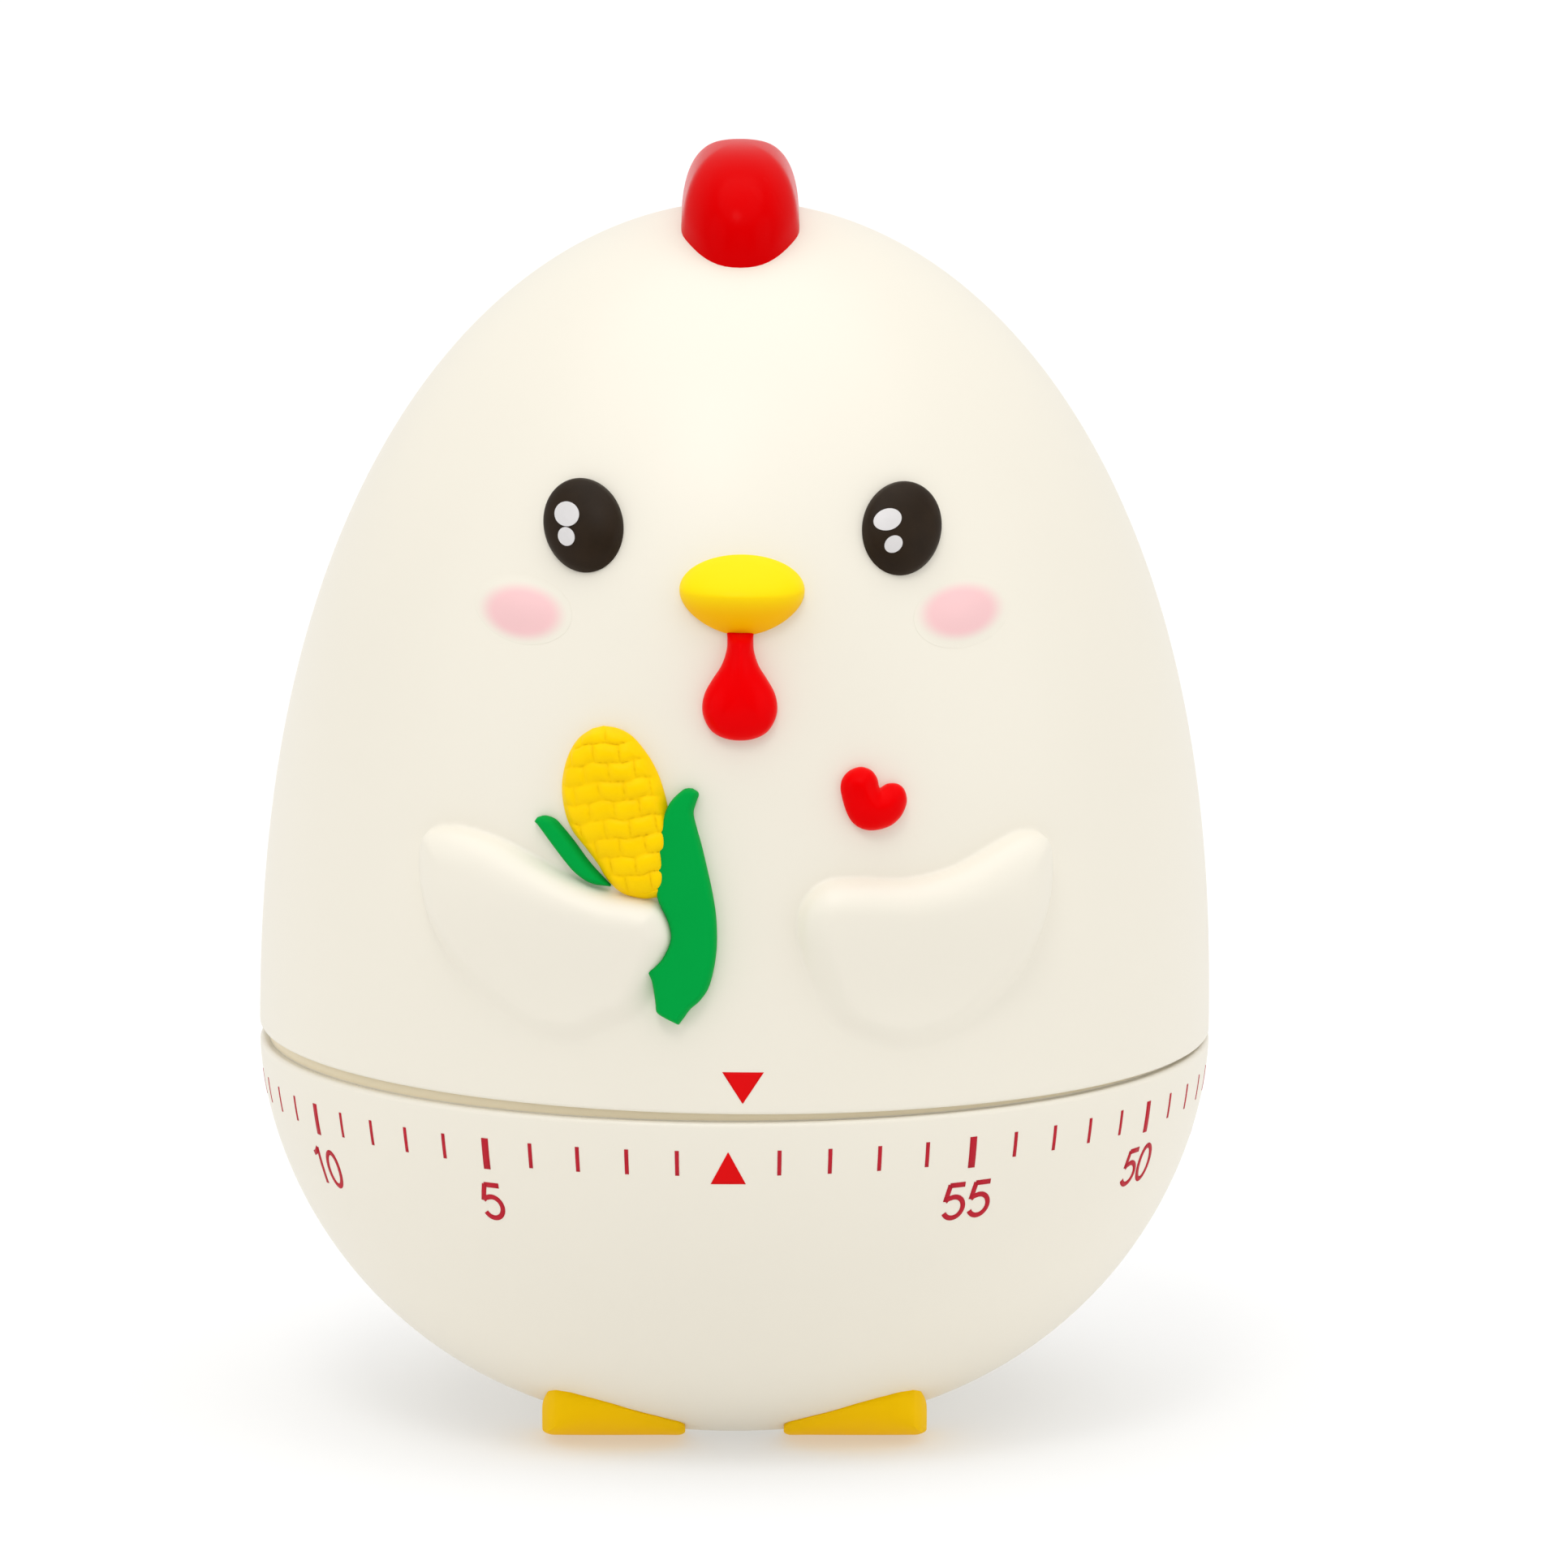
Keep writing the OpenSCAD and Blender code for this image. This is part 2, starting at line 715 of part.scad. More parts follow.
// A flat bar from one point to another
module bar(p, q, w, z0, z1) {
    at(p, z0) rotate([0, 0, toward(p, q)]) translate([0, -w / 2, 0])
        cube([norm(q - p), w, z1 - z0]);
}

module hammer_arbor() {
    color([0.70, 0.71, 0.73]) at(hammer_at, 0) union() {
        translate([0, 0, 6.5]) cylinder(h = top_z - play - 6.5, r = 0.8, $fn = 24);
        translate([0, 0, top_z - 1]) cylinder(h = 1 + plate_t, r = 0.5, $fn = 24);
    }
}

module hammer_arm() {
    color([0.62, 0.63, 0.66]) difference() {
        union() {
            bar(hammer_at, hammer_tip, 1.4, 6.7, 7.4);
            at(hammer_at, 6.5) cylinder(h = 1.1, r = 1.6, $fn = 32);
            at(hammer_tip, 4.6) cylinder(h = 2.8, r = 1.1, $fn = 32);
        }
        at(hammer_at, 6) cylinder(h = 3, r = 0.8, $fn = 24);
    }
}

upper_shell();
comb();
eye_left();
eye_right();
beak();
wattle();
cheek_left();
cheek_right();
corn_cob();
corn_leaf_large();
corn_leaf_small();
heart();
drive_disc();
drive_screw_1();
drive_screw_2();
drive_screw_3();
arbor_screw();
main_arbor();
ratchet_wheel();
great_wheel();
click_stud();
click_spring();
click();
lower_shell();
foot_left();
foot_right();
deck();
mount_plate();
bottom_plate();
pillar_1();
pillar_2();
pillar_3();
pillar_4();
plate_screw_1();
plate_screw_2();
plate_screw_3();
bell();
bell_screw();
mainspring();
spring_post();
second_arbor();
second_wheel();
third_arbor();
third_wheel();
escape_arbor();
escape_wheel();
lever_arbor();
pallet_lever();
hammer_arbor();
hammer_arm();
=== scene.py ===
"""Hen kitchen timer: the looks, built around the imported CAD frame.

Sizes are in millimetres until a mesh is made.
"""
import json
import math

import bpy
import numpy as np
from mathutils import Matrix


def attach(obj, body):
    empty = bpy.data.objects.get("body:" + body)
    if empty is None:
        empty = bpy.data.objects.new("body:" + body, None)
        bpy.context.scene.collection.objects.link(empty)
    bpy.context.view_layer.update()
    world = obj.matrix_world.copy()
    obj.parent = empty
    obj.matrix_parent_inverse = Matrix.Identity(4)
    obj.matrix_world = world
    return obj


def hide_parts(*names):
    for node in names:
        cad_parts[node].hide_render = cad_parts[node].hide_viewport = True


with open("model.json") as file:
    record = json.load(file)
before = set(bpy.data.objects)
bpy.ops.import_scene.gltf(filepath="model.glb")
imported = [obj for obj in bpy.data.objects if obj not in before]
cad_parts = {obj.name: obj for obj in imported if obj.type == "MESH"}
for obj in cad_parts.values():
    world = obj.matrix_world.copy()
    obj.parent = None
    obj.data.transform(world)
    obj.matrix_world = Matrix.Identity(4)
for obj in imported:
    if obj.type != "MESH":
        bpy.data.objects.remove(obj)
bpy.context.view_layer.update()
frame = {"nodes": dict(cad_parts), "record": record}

MM = 0.001
# The egg, as in the CAD
EGG_R, SEAM_Z, HEAD_H, BOWL_H, WALL = 30.1, 24.3, 52.6, 25.2, 1.8
RIM_UP, RIM_LOW = 24.53, 24.0
LIP_R, STEP_R = 29.5, 29.75
LUG_ANGLES = (90, 210, 330)
# The head sits a touch askew on its arbor: it leans to the right and looks slightly to the right
LEAN = math.radians(0.60)
TURN = math.radians(0.5)
POINTER_TURN = math.radians(0.95)
ZERO_TURN = math.radians(-0.75)
PRINT_SPREAD = 0.009  # the print is a touch wider across the front
HEAD_SHIFT = -0.007  # centres the leaned head in the CAD's width
STEP_Z = 25.5  # top of the step that clears the bowl's lip
FILM_TOP, FILM_LOW = 0.02, -0.08  # the ink's outside and underside, from the surface
PLASTIC_IOR = 1.5


# ---------------------------------------------------------------- surfaces

def head_radius(z, d=0.0):
    t = np.clip((np.asarray(z, float) - SEAM_Z) / (HEAD_H + d), 0, 1)
    return (EGG_R + d) * np.sqrt(np.clip(1 - t ** 2.32, 0, 1))


def bowl_radius(z, d=0.0):
    t = np.clip((SEAM_Z - np.asarray(z, float)) / (BOWL_H + d), 0, 1)
    return (EGG_R + d) * np.clip(1 - t ** 1.83, 0, 1) ** 0.4292


def on_surface(radius, x, z, h):
    """Points on the front of a round surface, at x and z, raised by h along the surface's normal."""
    x, z, h = np.broadcast_arrays(np.asarray(x, float), np.asarray(z, float), np.asarray(h, float))
    r = radius(z)
    slope = (radius(z + 0.02) - radius(z - 0.02)) / 0.04
    y = -np.sqrt(np.clip(r * r - x * x, 1e-6, None))
    n = np.stack([x, y, -r * slope], -1)
    n /= np.linalg.norm(n, axis=-1, keepdims=True)
    return np.stack([x, y, z], -1) + n * h[..., None]


def round_point(radius, phi, z, h):
    """Points all round, at the angle phi from dead ahead towards +X."""
    phi, z, h = np.broadcast_arrays(np.asarray(phi, float), np.asarray(z, float), np.asarray(h, float))
    r = radius(z)
    slope = (radius(z + 0.02) - radius(z - 0.02)) / 0.04
    out = np.stack([np.sin(phi), -np.cos(phi), np.zeros_like(phi)], -1)
    k = 1 / np.sqrt(1 + slope * slope)
    p = out * (r + h * k)[..., None]
    p[..., 2] = z - h * k * slope
    return p


def turn_z(p, a):
    c, s = math.cos(a), math.sin(a)
    return np.stack([p[..., 0] * c - p[..., 1] * s, p[..., 0] * s + p[..., 1] * c, p[..., 2]], -1)


def head_pose(p, turn=TURN):
    """From the head's own straight frame to where it stands: turned, then leaned over the seam."""
    p = turn_z(p, turn)
    c, s = math.cos(LEAN), math.sin(LEAN)
    z = p[..., 2] - SEAM_Z
    return np.stack([p[..., 0] * c + z * s + HEAD_SHIFT, p[..., 1], z * c - p[..., 0] * s + SEAM_Z], -1)


def smooth(points, k=8, closed=True):
    """A Catmull-Rom curve through the points."""
    p = np.array(points, float)
    if closed:
        q = np.concatenate([p[-1:], p, p[:2]])
    else:
        q = np.concatenate([2 * p[:1] - p[1:2], p, 2 * p[-1:] - p[-2:-1]])
    out = []
    for i in range(len(q) - 3):
        a, b, c, e = q[i:i + 4]
        for t in np.arange(k) / k:
            out.append(0.5 * (2 * b + (c - a) * t + (2 * a - 5 * b + 4 * c - e) * t * t
                              + (3 * b - a - 3 * c + e) * t ** 3))
    if not closed:
        out.append(p[-1])
    return np.array(out)


def resample(line, n, ease=False):
    """n points along a line, evenly spaced, or closer together at its ends."""
    d = np.r_[0, np.cumsum(np.linalg.norm(np.diff(line, axis=0), axis=1))]
    t = np.linspace(0, 1, n)
    if ease:
        t = (1 - np.cos(np.pi * t)) / 2
    return np.stack([np.interp(t * d[-1], d, line[:, i]) for i in (0, 1)], -1)


def edge_distance(p, outline):
    """The distance from each point to the outline: positive inside it, negative outside."""
    p = np.asarray(p, float)
    a, b = outline, np.roll(outline, -1, axis=0)
    best = np.full(p.shape[:-1], 1e9)
    inside = np.zeros(p.shape[:-1], bool)
    for (x1, z1), (x2, z2) in zip(a, b):
        dx, dz = x2 - x1, z2 - z1
        t = np.clip(((p[..., 0] - x1) * dx + (p[..., 1] - z1) * dz) / (dx * dx + dz * dz + 1e-12), 0, 1)
        best = np.minimum(best, np.hypot(p[..., 0] - x1 - t * dx, p[..., 1] - z1 - t * dz))
        if z1 != z2:
            crosses = (z1 > p[..., 1]) != (z2 > p[..., 1])
            inside ^= crosses & (p[..., 0] < x1 + (p[..., 1] - z1) * dx / dz)
    return np.where(inside, best, -best)


def rounded(d, width):
    """A quarter-round rise from an edge: 0 at the edge and 1 once width inside it."""
    u = np.clip(d / width, 0, 1)
    return np.sqrt(np.clip(1 - (1 - u) ** 2, 0, 1))


def ease(u):
    u = np.clip(u, 0, 1)
    return u * u * (3 - 2 * u)


# ---------------------------------------------------------------- meshes

def make(name, verts, faces, material, body, replaces=(), sharp=40):
    mesh = bpy.data.meshes.new(name)
    mesh.from_pydata([tuple(v) for v in (np.asarray(verts) * MM)], [], [tuple(f) for f in faces])
    mesh.validate()
    mesh.update()
    mesh.shade_smooth()
    if sharp:
        mesh.set_sharp_from_angle(angle=math.radians(sharp))
    mesh.materials.append(material)
    ob = bpy.data.objects.new(name, mesh)
    bpy.context.scene.collection.objects.link(ob)
    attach(ob, body)
    if replaces:
        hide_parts(*replaces)
    return ob


def grid_faces(rows, cols, wrap=False, start=0):
    out = []
    for i in range(rows - 1):
        for j in range(cols if wrap else cols - 1):
            k = (j + 1) % cols
            out.append((start + i * cols + j, start + i * cols + k,
                        start + (i + 1) * cols + k, start + (i + 1) * cols + j))
    return out


def closed_sheet(top, low):
    """A closed solid between two grids of points, joined round their edge."""
    rows, cols = top.shape[:2]
    n = rows * cols
    faces = grid_faces(rows, cols)
    faces += [tuple(n + i for i in reversed(f)) for f in grid_faces(rows, cols)]
    ring = ([i for i in range(cols)] + [i * cols + cols - 1 for i in range(1, rows)]
            + [(rows - 1) * cols + i for i in range(cols - 2, -1, -1)]
            + [i * cols for i in range(rows - 2, 0, -1)])
    faces += [(b, a, n + a, n + b) for a, b in zip(ring, ring[1:] + ring[:1])]
    return np.concatenate([top.reshape(-1, 3), low.reshape(-1, 3)]), faces


def slab(xz, h, base, place):
    """A closed pad over a grid of x and z: its top raised by h, its underside at base."""
    return closed_sheet(place(xz[..., 0], xz[..., 1], h),
                        place(xz[..., 0], xz[..., 1], np.full_like(h, base)))


def pole_slab(rings, h, base, place):
    """A closed round pad over rings of x and z, the first ring being one point repeated."""
    rows, cols = h.shape
    top = place(rings[..., 0], rings[..., 1], h).reshape(-1, 3)
    low = place(rings[-1, :, 0], rings[-1, :, 1], np.full(cols, base)).reshape(-1, 3)
    verts = np.concatenate([top[:1], top[cols:], low])
    faces = []
    for j in range(cols):
        k = (j + 1) % cols
        faces.append((0, 1 + k, 1 + j))
        for i in range(1, rows - 1):
            a = 1 + (i - 1) * cols
            faces.append((a + j, a + k, a + cols + k, a + cols + j))
        a, b = 1 + (rows - 2) * cols, 1 + (rows - 1) * cols
        faces.append((a + j, a + k, b + k, b + j))
    faces.append(tuple(1 + (rows - 1) * cols + j for j in range(cols)))
    return verts, faces


def lathe(profile, segments):
    """A closed profile of radius and height turned all round. A radius of 0 is a pole."""
    verts, rows = [], []
    for r, z in profile:
        if r < 1e-6:
            rows.append([len(verts)] * segments)
            verts.append((0, 0, z))
        else:
            rows.append([len(verts) + j for j in range(segments)])
            for j in range(segments):
                a = 2 * math.pi * j / segments
                verts.append((r * math.cos(a), r * math.sin(a), z))
    faces = []
    for a, b in zip(rows, rows[1:] + rows[:1]):
        for j in range(segments):
            k = (j + 1) % segments
            f = [a[j], a[k], b[k], b[j]]
            f = [v for i, v in enumerate(f) if v not in f[:i]]
            if len(f) > 2:
                faces.append(tuple(f))
    return np.array(verts, float), faces


def joined(parts):
    verts, faces = [], []
    for v, f in parts:
        n = sum(len(x) for x in verts)
        verts.append(np.asarray(v, float))
        faces += [tuple(n + i for i in face) for face in f]
    return np.concatenate(verts), faces


def hand(side):
    return "left" if side < 0 else "right"


def front(x, z, h):
    return head_pose(on_surface(head_radius, x, z, h))


# ---------------------------------------------------------------- materials

def srgb(r, g, b):
    def lin(c):
        c /= 255
        return c / 12.92 if c <= 0.04045 else ((c + 0.055) / 1.055) ** 2.4
    return (lin(r), lin(g), lin(b), 1)


def material(name, color, rough, metal=0.0, coat=0.0, coat_rough=0.1, specular=0.5,
             vary=0.03, vary_scale=90.0, grain=0.006, grain_scale=2600.0, rough_vary=0.05,
             coat_ior=1.5):
    """A moulded or painted surface: a slow drift in colour and gloss, and a fine grain in its surface."""
    mat = bpy.data.materials.new(name)
    mat.use_nodes = True
    nodes, links = mat.node_tree.nodes, mat.node_tree.links
    shader = nodes["Principled BSDF"]
    where = nodes.new("ShaderNodeTexCoord")
    drift = nodes.new("ShaderNodeTexNoise")
    drift.inputs["Scale"].default_value = vary_scale
    drift.inputs["Detail"].default_value = 3
    links.new(where.outputs["Object"], drift.inputs["Vector"])
    mix = nodes.new("ShaderNodeMix")
    mix.data_type = "RGBA"
    dark = tuple(c * (1 - vary) for c in color[:3]) + (1,)
    light = tuple(min(1, c * (1 + vary)) for c in color[:3]) + (1,)
    mix.inputs[6].default_value = dark
    mix.inputs[7].default_value = light
    links.new(drift.outputs["Fac"], mix.inputs[0])
    links.new(mix.outputs[2], shader.inputs["Base Color"])
    gloss = nodes.new("ShaderNodeMapRange")
    gloss.inputs["To Min"].default_value = max(0.03, rough - rough_vary)
    gloss.inputs["To Max"].default_value = min(1, rough + rough_vary)
    links.new(drift.outputs["Fac"], gloss.inputs["Value"])
    links.new(gloss.outputs["Result"], shader.inputs["Roughness"])
    fine = nodes.new("ShaderNodeTexNoise")
    fine.inputs["Scale"].default_value = grain_scale
    fine.inputs["Detail"].default_value = 2
    links.new(where.outputs["Object"], fine.inputs["Vector"])
    bump = nodes.new("ShaderNodeBump")
    bump.inputs["Strength"].default_value = 0.5
    bump.inputs["Distance"].default_value = grain * MM
    links.new(fine.outputs["Fac"], bump.inputs["Height"])
    links.new(bump.outputs["Normal"], shader.inputs["Normal"])
    shader.inputs["Metallic"].default_value = metal
    shader.inputs["IOR"].default_value = PLASTIC_IOR
    shader.inputs["Specular IOR Level"].default_value = specular
    shader.inputs["Coat Weight"].default_value = coat
    shader.inputs["Coat Roughness"].default_value = coat_rough
    shader.inputs["Coat IOR"].default_value = coat_ior
    return mat


CREAM = srgb(237, 231, 216)
cream = material("cream_plastic", CREAM, 0.42, vary=0.012, vary_scale=45, grain=0.004)
bowl_cream = material("cream_plastic_bowl", CREAM, 0.42, vary=0.012, vary_scale=45, grain=0.004)
red = material("red_gloss", srgb(232, 0, 3), 0.30, coat=0.35, coat_rough=0.10, coat_ior=1.12, specular=0.01,
               vary=0.03, grain=0.005)
comb_red = material("red_gloss_comb", srgb(214, 0, 2), 0.26, coat=0.18, coat_rough=0.17, coat_ior=1.12,
                    specular=0.01, vary=0.05, vary_scale=160, grain=0.004)
eye_brown = material("eye_dark", srgb(40, 29, 18), 0.45, specular=0.10, vary=0.35, vary_scale=700, grain=0.02,
                     grain_scale=1900)
white_paint = material("eye_white", srgb(214, 211, 210), 0.4, vary=0.05, vary_scale=1500)
beak_paint = material("beak_yellow", srgb(254, 222, 8), 0.40, specular=0.06, vary=0.03, vary_scale=200)
pink = material("cheek_pink", srgb(243, 196, 197), 0.5, vary=0.02, vary_scale=300)
corn_paint = material("corn_yellow", srgb(254, 206, 2), 0.38, specular=0.04, vary=0.07, vary_scale=700)
green = material("leaf_green", srgb(0, 160, 64), 0.55, specular=0.03, vary=0.04, vary_scale=250)
ochre = material("foot_yellow", srgb(255, 202, 2), 0.5, specular=0.03, vary=0.04, vary_scale=300)
ink = material("scale_ink", srgb(186, 32, 48), 0.5, specular=0.1, vary=0.15, vary_scale=900)
ink_solid = material("mark_ink", srgb(222, 8, 12), 0.45, specular=0.06, vary=0.05, vary_scale=700)
inner = material("inner_plastic", srgb(214, 206, 184), 0.5, vary=0.03, vary_scale=60)
brass = material("brass", srgb(214, 178, 96), 0.26, metal=1, vary=0.05, vary_scale=300, grain=0.003)
steel = material("steel", srgb(186, 188, 192), 0.24, metal=1, vary=0.04, vary_scale=400, grain=0.002)
spring_blue = material("spring_steel", srgb(96, 104, 122), 0.3, metal=1, vary=0.12, vary_scale=500)
nickel = material("bell_steel", srgb(214, 214, 216), 0.14, metal=1, vary=0.03, vary_scale=120)


def second_tone(mat, color, build):
    """Blends a second colour into a paint where build's mask is 1."""
    nodes, links = mat.node_tree.nodes, mat.node_tree.links
    shader = nodes["Principled BSDF"]
    first = shader.inputs["Base Color"].links[0].from_socket
    where = nodes.new("ShaderNodeTexCoord")
    parts = nodes.new("ShaderNodeSeparateXYZ")
    links.new(where.outputs["Object"], parts.inputs[0])

    def math_node(kind, a, b=None):
        node = nodes.new("ShaderNodeMath")
        node.operation = kind
        for i, v in enumerate((a, b)):
            if isinstance(v, (int, float)):
                node.inputs[i].default_value = v
            elif v is not None:
                links.new(v, node.inputs[i])
        return node.outputs[0]
    value, low, high = build(parts.outputs["X"], parts.outputs["Z"], math_node)
    mask = nodes.new("ShaderNodeMapRange")
    mask.interpolation_type = "SMOOTHSTEP"
    mask.inputs["From Min"].default_value = low
    mask.inputs["From Max"].default_value = high
    links.new(value, mask.inputs["Value"])
    mix = nodes.new("ShaderNodeMix")
    mix.data_type = "RGBA"
    links.new(mask.outputs["Result"], mix.inputs[0])
    links.new(first, mix.inputs[6])
    mix.inputs[7].default_value = color
    links.new(mix.outputs[2], shader.inputs["Base Color"])


def blush(x, z, m):
    """How far out from the middle of a cheek, 1 being its edge."""
    dx = m("DIVIDE", m("SUBTRACT", m("ABSOLUTE", m("SUBTRACT", x, 0.00044)), 0.0135), 0.0027)
    dz = m("DIVIDE", m("SUBTRACT", z, 0.0545), 0.00174)
    return m("SQRT", m("ADD", m("MULTIPLY", dx, dx), m("MULTIPLY", dz, dz))), 0.62, 1.08


second_tone(pink, CREAM, blush)
# Below the beak's ridge the yellow turns a deeper orange: partly the beak's own paint, partly painted shade
# on its downward-facing lower half.
second_tone(beak_paint, srgb(246, 186, 2), lambda x, z, m: (m("MULTIPLY", z, -1), -0.0569, -0.0549))
# Above the bowl's rim, on the lip, the cream turns warmer and slightly lighter: painted light and warm bounce
# in the shaded gap under the head.
second_tone(bowl_cream, srgb(244, 230, 196), lambda x, z, m: (z, 0.02402, 0.02410))

by_slot = {"cream_plastic": cream, "red_gloss": red, "eye_dark": eye_brown, "beak_yellow": beak_paint,
           "cheek_pink": pink, "corn_yellow": corn_paint, "leaf_green": green, "foot_yellow": ochre,
           "inner_plastic": inner, "brass": brass, "steel": steel, "spring_steel": spring_blue,
           "bell_steel": nickel}
for row in frame["record"]["subparts"]:
    ob = frame["nodes"][row["node"]]
    ob.data.materials.clear()
    ob.data.materials.append(by_slot[row["material_slot"]])


# ---------------------------------------------------------------- head shell

WING_RIGHT = smooth([
    (18.55, 40.8), (17.0, 41.1), (14.9, 40.2), (12.9, 39.3), (10.1, 38.8), (7.0, 39.0), (5.1, 38.8),
    (3.9, 37.7), (3.55, 36.2), (3.9, 34.2), (4.6, 32.2), (5.6, 30.2), (7.3, 29.0), (9.5, 28.3),
    (12.0, 28.5), (14.2, 29.4), (16.2, 31.1), (17.8, 33.2), (18.7, 35.8), (19.0, 39.0)])
WING_LEFT = smooth([
    (-19.0, 40.7), (-17.2, 41.1), (-14.9, 40.7), (-12.9, 39.9), (-11.5, 39.3), (-10.1, 38.7), (-8.0, 38.0),
    (-5.9, 37.7), (-4.7, 37.2), (-4.05, 35.5), (-4.5, 33.8), (-5.4, 31.7), (-6.3, 30.2),
    (-7.9, 29.4), (-9.6, 28.5), (-12.0, 28.5), (-14.2, 29.4), (-16.3, 31.1), (-18.0, 33.2),
    (-19.1, 35.6), (-19.5, 39.0)])


def wing_height(x, z, outline):
    """A folded wing: a full rounded edge along its top, thinning to a soft edge at the bottom."""
    d = edge_distance(np.stack([x, z], -1), outline)
    up = ease((z - 29.3) / 8.6)
    soft = ease(d / 1.7)
    return (rounded(d, 1.2 + 1.2 * up) * up + soft * (1 - up)) * (0.62 + 1.36 * up)


def front_spacing(n_front, n_back, half):
    """Angles all round, close together over the face and wider apart behind it."""
    a = np.linspace(-half, half, n_front, endpoint=False)
    b = np.linspace(half, 2 * math.pi - half, n_back, endpoint=False)
    return np.r_[a, b]


def head_shell():
    phi = front_spacing(420, 130, math.radians(48))
    z = np.r_[np.linspace(RIM_UP + 0.25, 27.6, 12), np.linspace(27.7, 41.8, 118), np.linspace(42.2, 60, 40)]
    top = SEAM_Z + HEAD_H * np.sin(np.linspace(math.asin((60.4 - SEAM_Z) / HEAD_H), math.pi / 2, 44))
    z = np.r_[z, top[:-1]]
    P, Z = np.meshgrid(phi, z)
    x = head_radius(Z) * np.sin(P)
    ahead = np.cos(P) > 0
    h = np.zeros_like(Z)
    near = ahead & (Z > 26.5) & (Z < 42.5) & (np.abs(x) < 21.5)
    for outline in (WING_RIGHT, WING_LEFT):
        h[near] = np.maximum(h[near], wing_height(x[near], Z[near], outline))
    for _ in range(2):  # soften the foot of each relief
        h = (h + np.roll(h, 1, 1) + np.roll(h, -1, 1) + np.pad(h, ((1, 0), (0, 0)), "edge")[:-1]
             + np.pad(h, ((0, 1), (0, 0)), "edge")[1:]) / 5
    outer = round_point(head_radius, P, Z, h)
    rim = []
    for t in np.linspace(0, math.pi / 2, 5)[1:]:  # the rim's rounded outer edge
        rim.append((EGG_R - 0.25 * (1 - math.cos(t)), RIM_UP + 0.25 * (1 - math.sin(t))))
    rim += [(STEP_R, RIM_UP), (STEP_R, STEP_Z), (float(head_radius(STEP_Z, -WALL)), STEP_Z)]
    zi = SEAM_Z + (HEAD_H - WALL) * np.sin(np.linspace(0.035, math.pi / 2, 30))[:-1]
    rim += [(float(head_radius(v, -WALL)), v) for v in zi]
    ring = [np.stack([r * np.sin(phi), -r * np.cos(phi), np.full_like(phi, v)], -1) for r, v in rim]
    n = len(phi)
    verts = [outer[::-1].reshape(-1, 3)] + ring
    rows = len(z) + len(ring)
    faces = grid_faces(rows, n, wrap=True)
    faces = [tuple(reversed(f)) for f in faces]
    verts = np.concatenate(verts)
    poles = np.array([[0, 0, SEAM_Z + HEAD_H], [0, 0, SEAM_Z + HEAD_H - WALL]])
    total = len(verts)
    faces += [(total, j, (j + 1) % n) for j in range(n)]
    last = (rows - 1) * n
    faces += [(total + 1, last + (j + 1) % n, last + j) for j in range(n)]
    shell = (head_pose(np.concatenate([verts, poles])), faces)
    lugs = []
    for a in LUG_ANGLES:
        v, f = lathe([(1.05, 31.0), (2.5, 31.0), (2.7, 31.2), (2.7, 42.0), (1.05, 42.0)], 32)
        v = v + np.array([25.9 * math.cos(math.radians(a)), 25.9 * math.sin(math.radians(a)), 0])
        lugs.append((v, f))
    verts, faces = joined([shell] + lugs)
    make("head_shell", verts, faces, cream, "head", ["upper_shell"], sharp=50)


head_shell()


# ---------------------------------------------------------------- comb

def power(v, e):
    return np.sign(v) * np.abs(v) ** e


def comb_plan(count):
    """The comb from above: straight sides with a rounded nose at each end, evenly spaced."""
    v = np.linspace(0, 1, 24)
    nose = np.stack([3.74 * v, 4.45 * v ** 2.6 - 10.15], -1)
    side = np.concatenate([nose, [[3.74, 0]], nose[::-1] * [1, -1]])
    line = np.concatenate([side, side[::-1][1:] * [-1, 1]])
    line = resample(line, count + 1)[:-1]
    for _ in range(3):
        line = (np.roll(line, 1, 0) + 2 * line + np.roll(line, -1, 0)) / 4
    return line * [1, 10.15 / line[:, 1].max()]


def comb():
    seg, rows = 96, 40
    plan = comb_plan(seg)
    up = np.r_[np.zeros(5), np.linspace(0, math.pi / 2, rows - 4)[1:]]
    drop = np.r_[np.linspace(-3.6, -0.4, 4), np.zeros(rows - 4)]
    ring = power(np.cos(up), 0.74)[:, None]
    x, y = plan[None, :, 0] * ring, plan[None, :, 1] * ring
    z = (74.2 + 6.6 * power(np.sin(up), 0.70) + drop)[:, None]
    z = z - 0.010 * y * y * np.clip(np.sin(up), 0, 1)[:, None]  # the ridge falls away to both ends
    pts = np.stack([x, y, z], -1)[:-1].reshape(-1, 3)
    faces = grid_faces(rows - 1, seg, wrap=True)
    n = len(pts)
    verts = np.concatenate([pts, [[0, 0, 80.8]], [[0, 0, 70.5]]]) - [0.17, 0, 0]
    last = (rows - 2) * seg
    faces += [(last + j, last + (j + 1) % seg, n) for j in range(seg)]
    faces += [((j + 1) % seg, j, n + 1) for j in range(seg)]
    make("comb_lobe", head_pose(verts, 0.0), faces, comb_red, "head", ["comb"], sharp=0)


comb()


# ---------------------------------------------------------------- face

def polar_rings(cx, cz, a, b, tilt, rows, cols):
    """Rings of an ellipse from its middle outwards."""
    t = np.sin(np.linspace(0, math.pi / 2, rows))
    ang = np.linspace(0, 2 * math.pi, cols, endpoint=False)
    u = t[:, None] * np.cos(ang)[None] * a
    v = t[:, None] * np.sin(ang)[None] * b
    c, s = math.cos(tilt), math.sin(tilt)
    return np.stack([cx + u * c - v * s, cz + u * s + v * c], -1), t


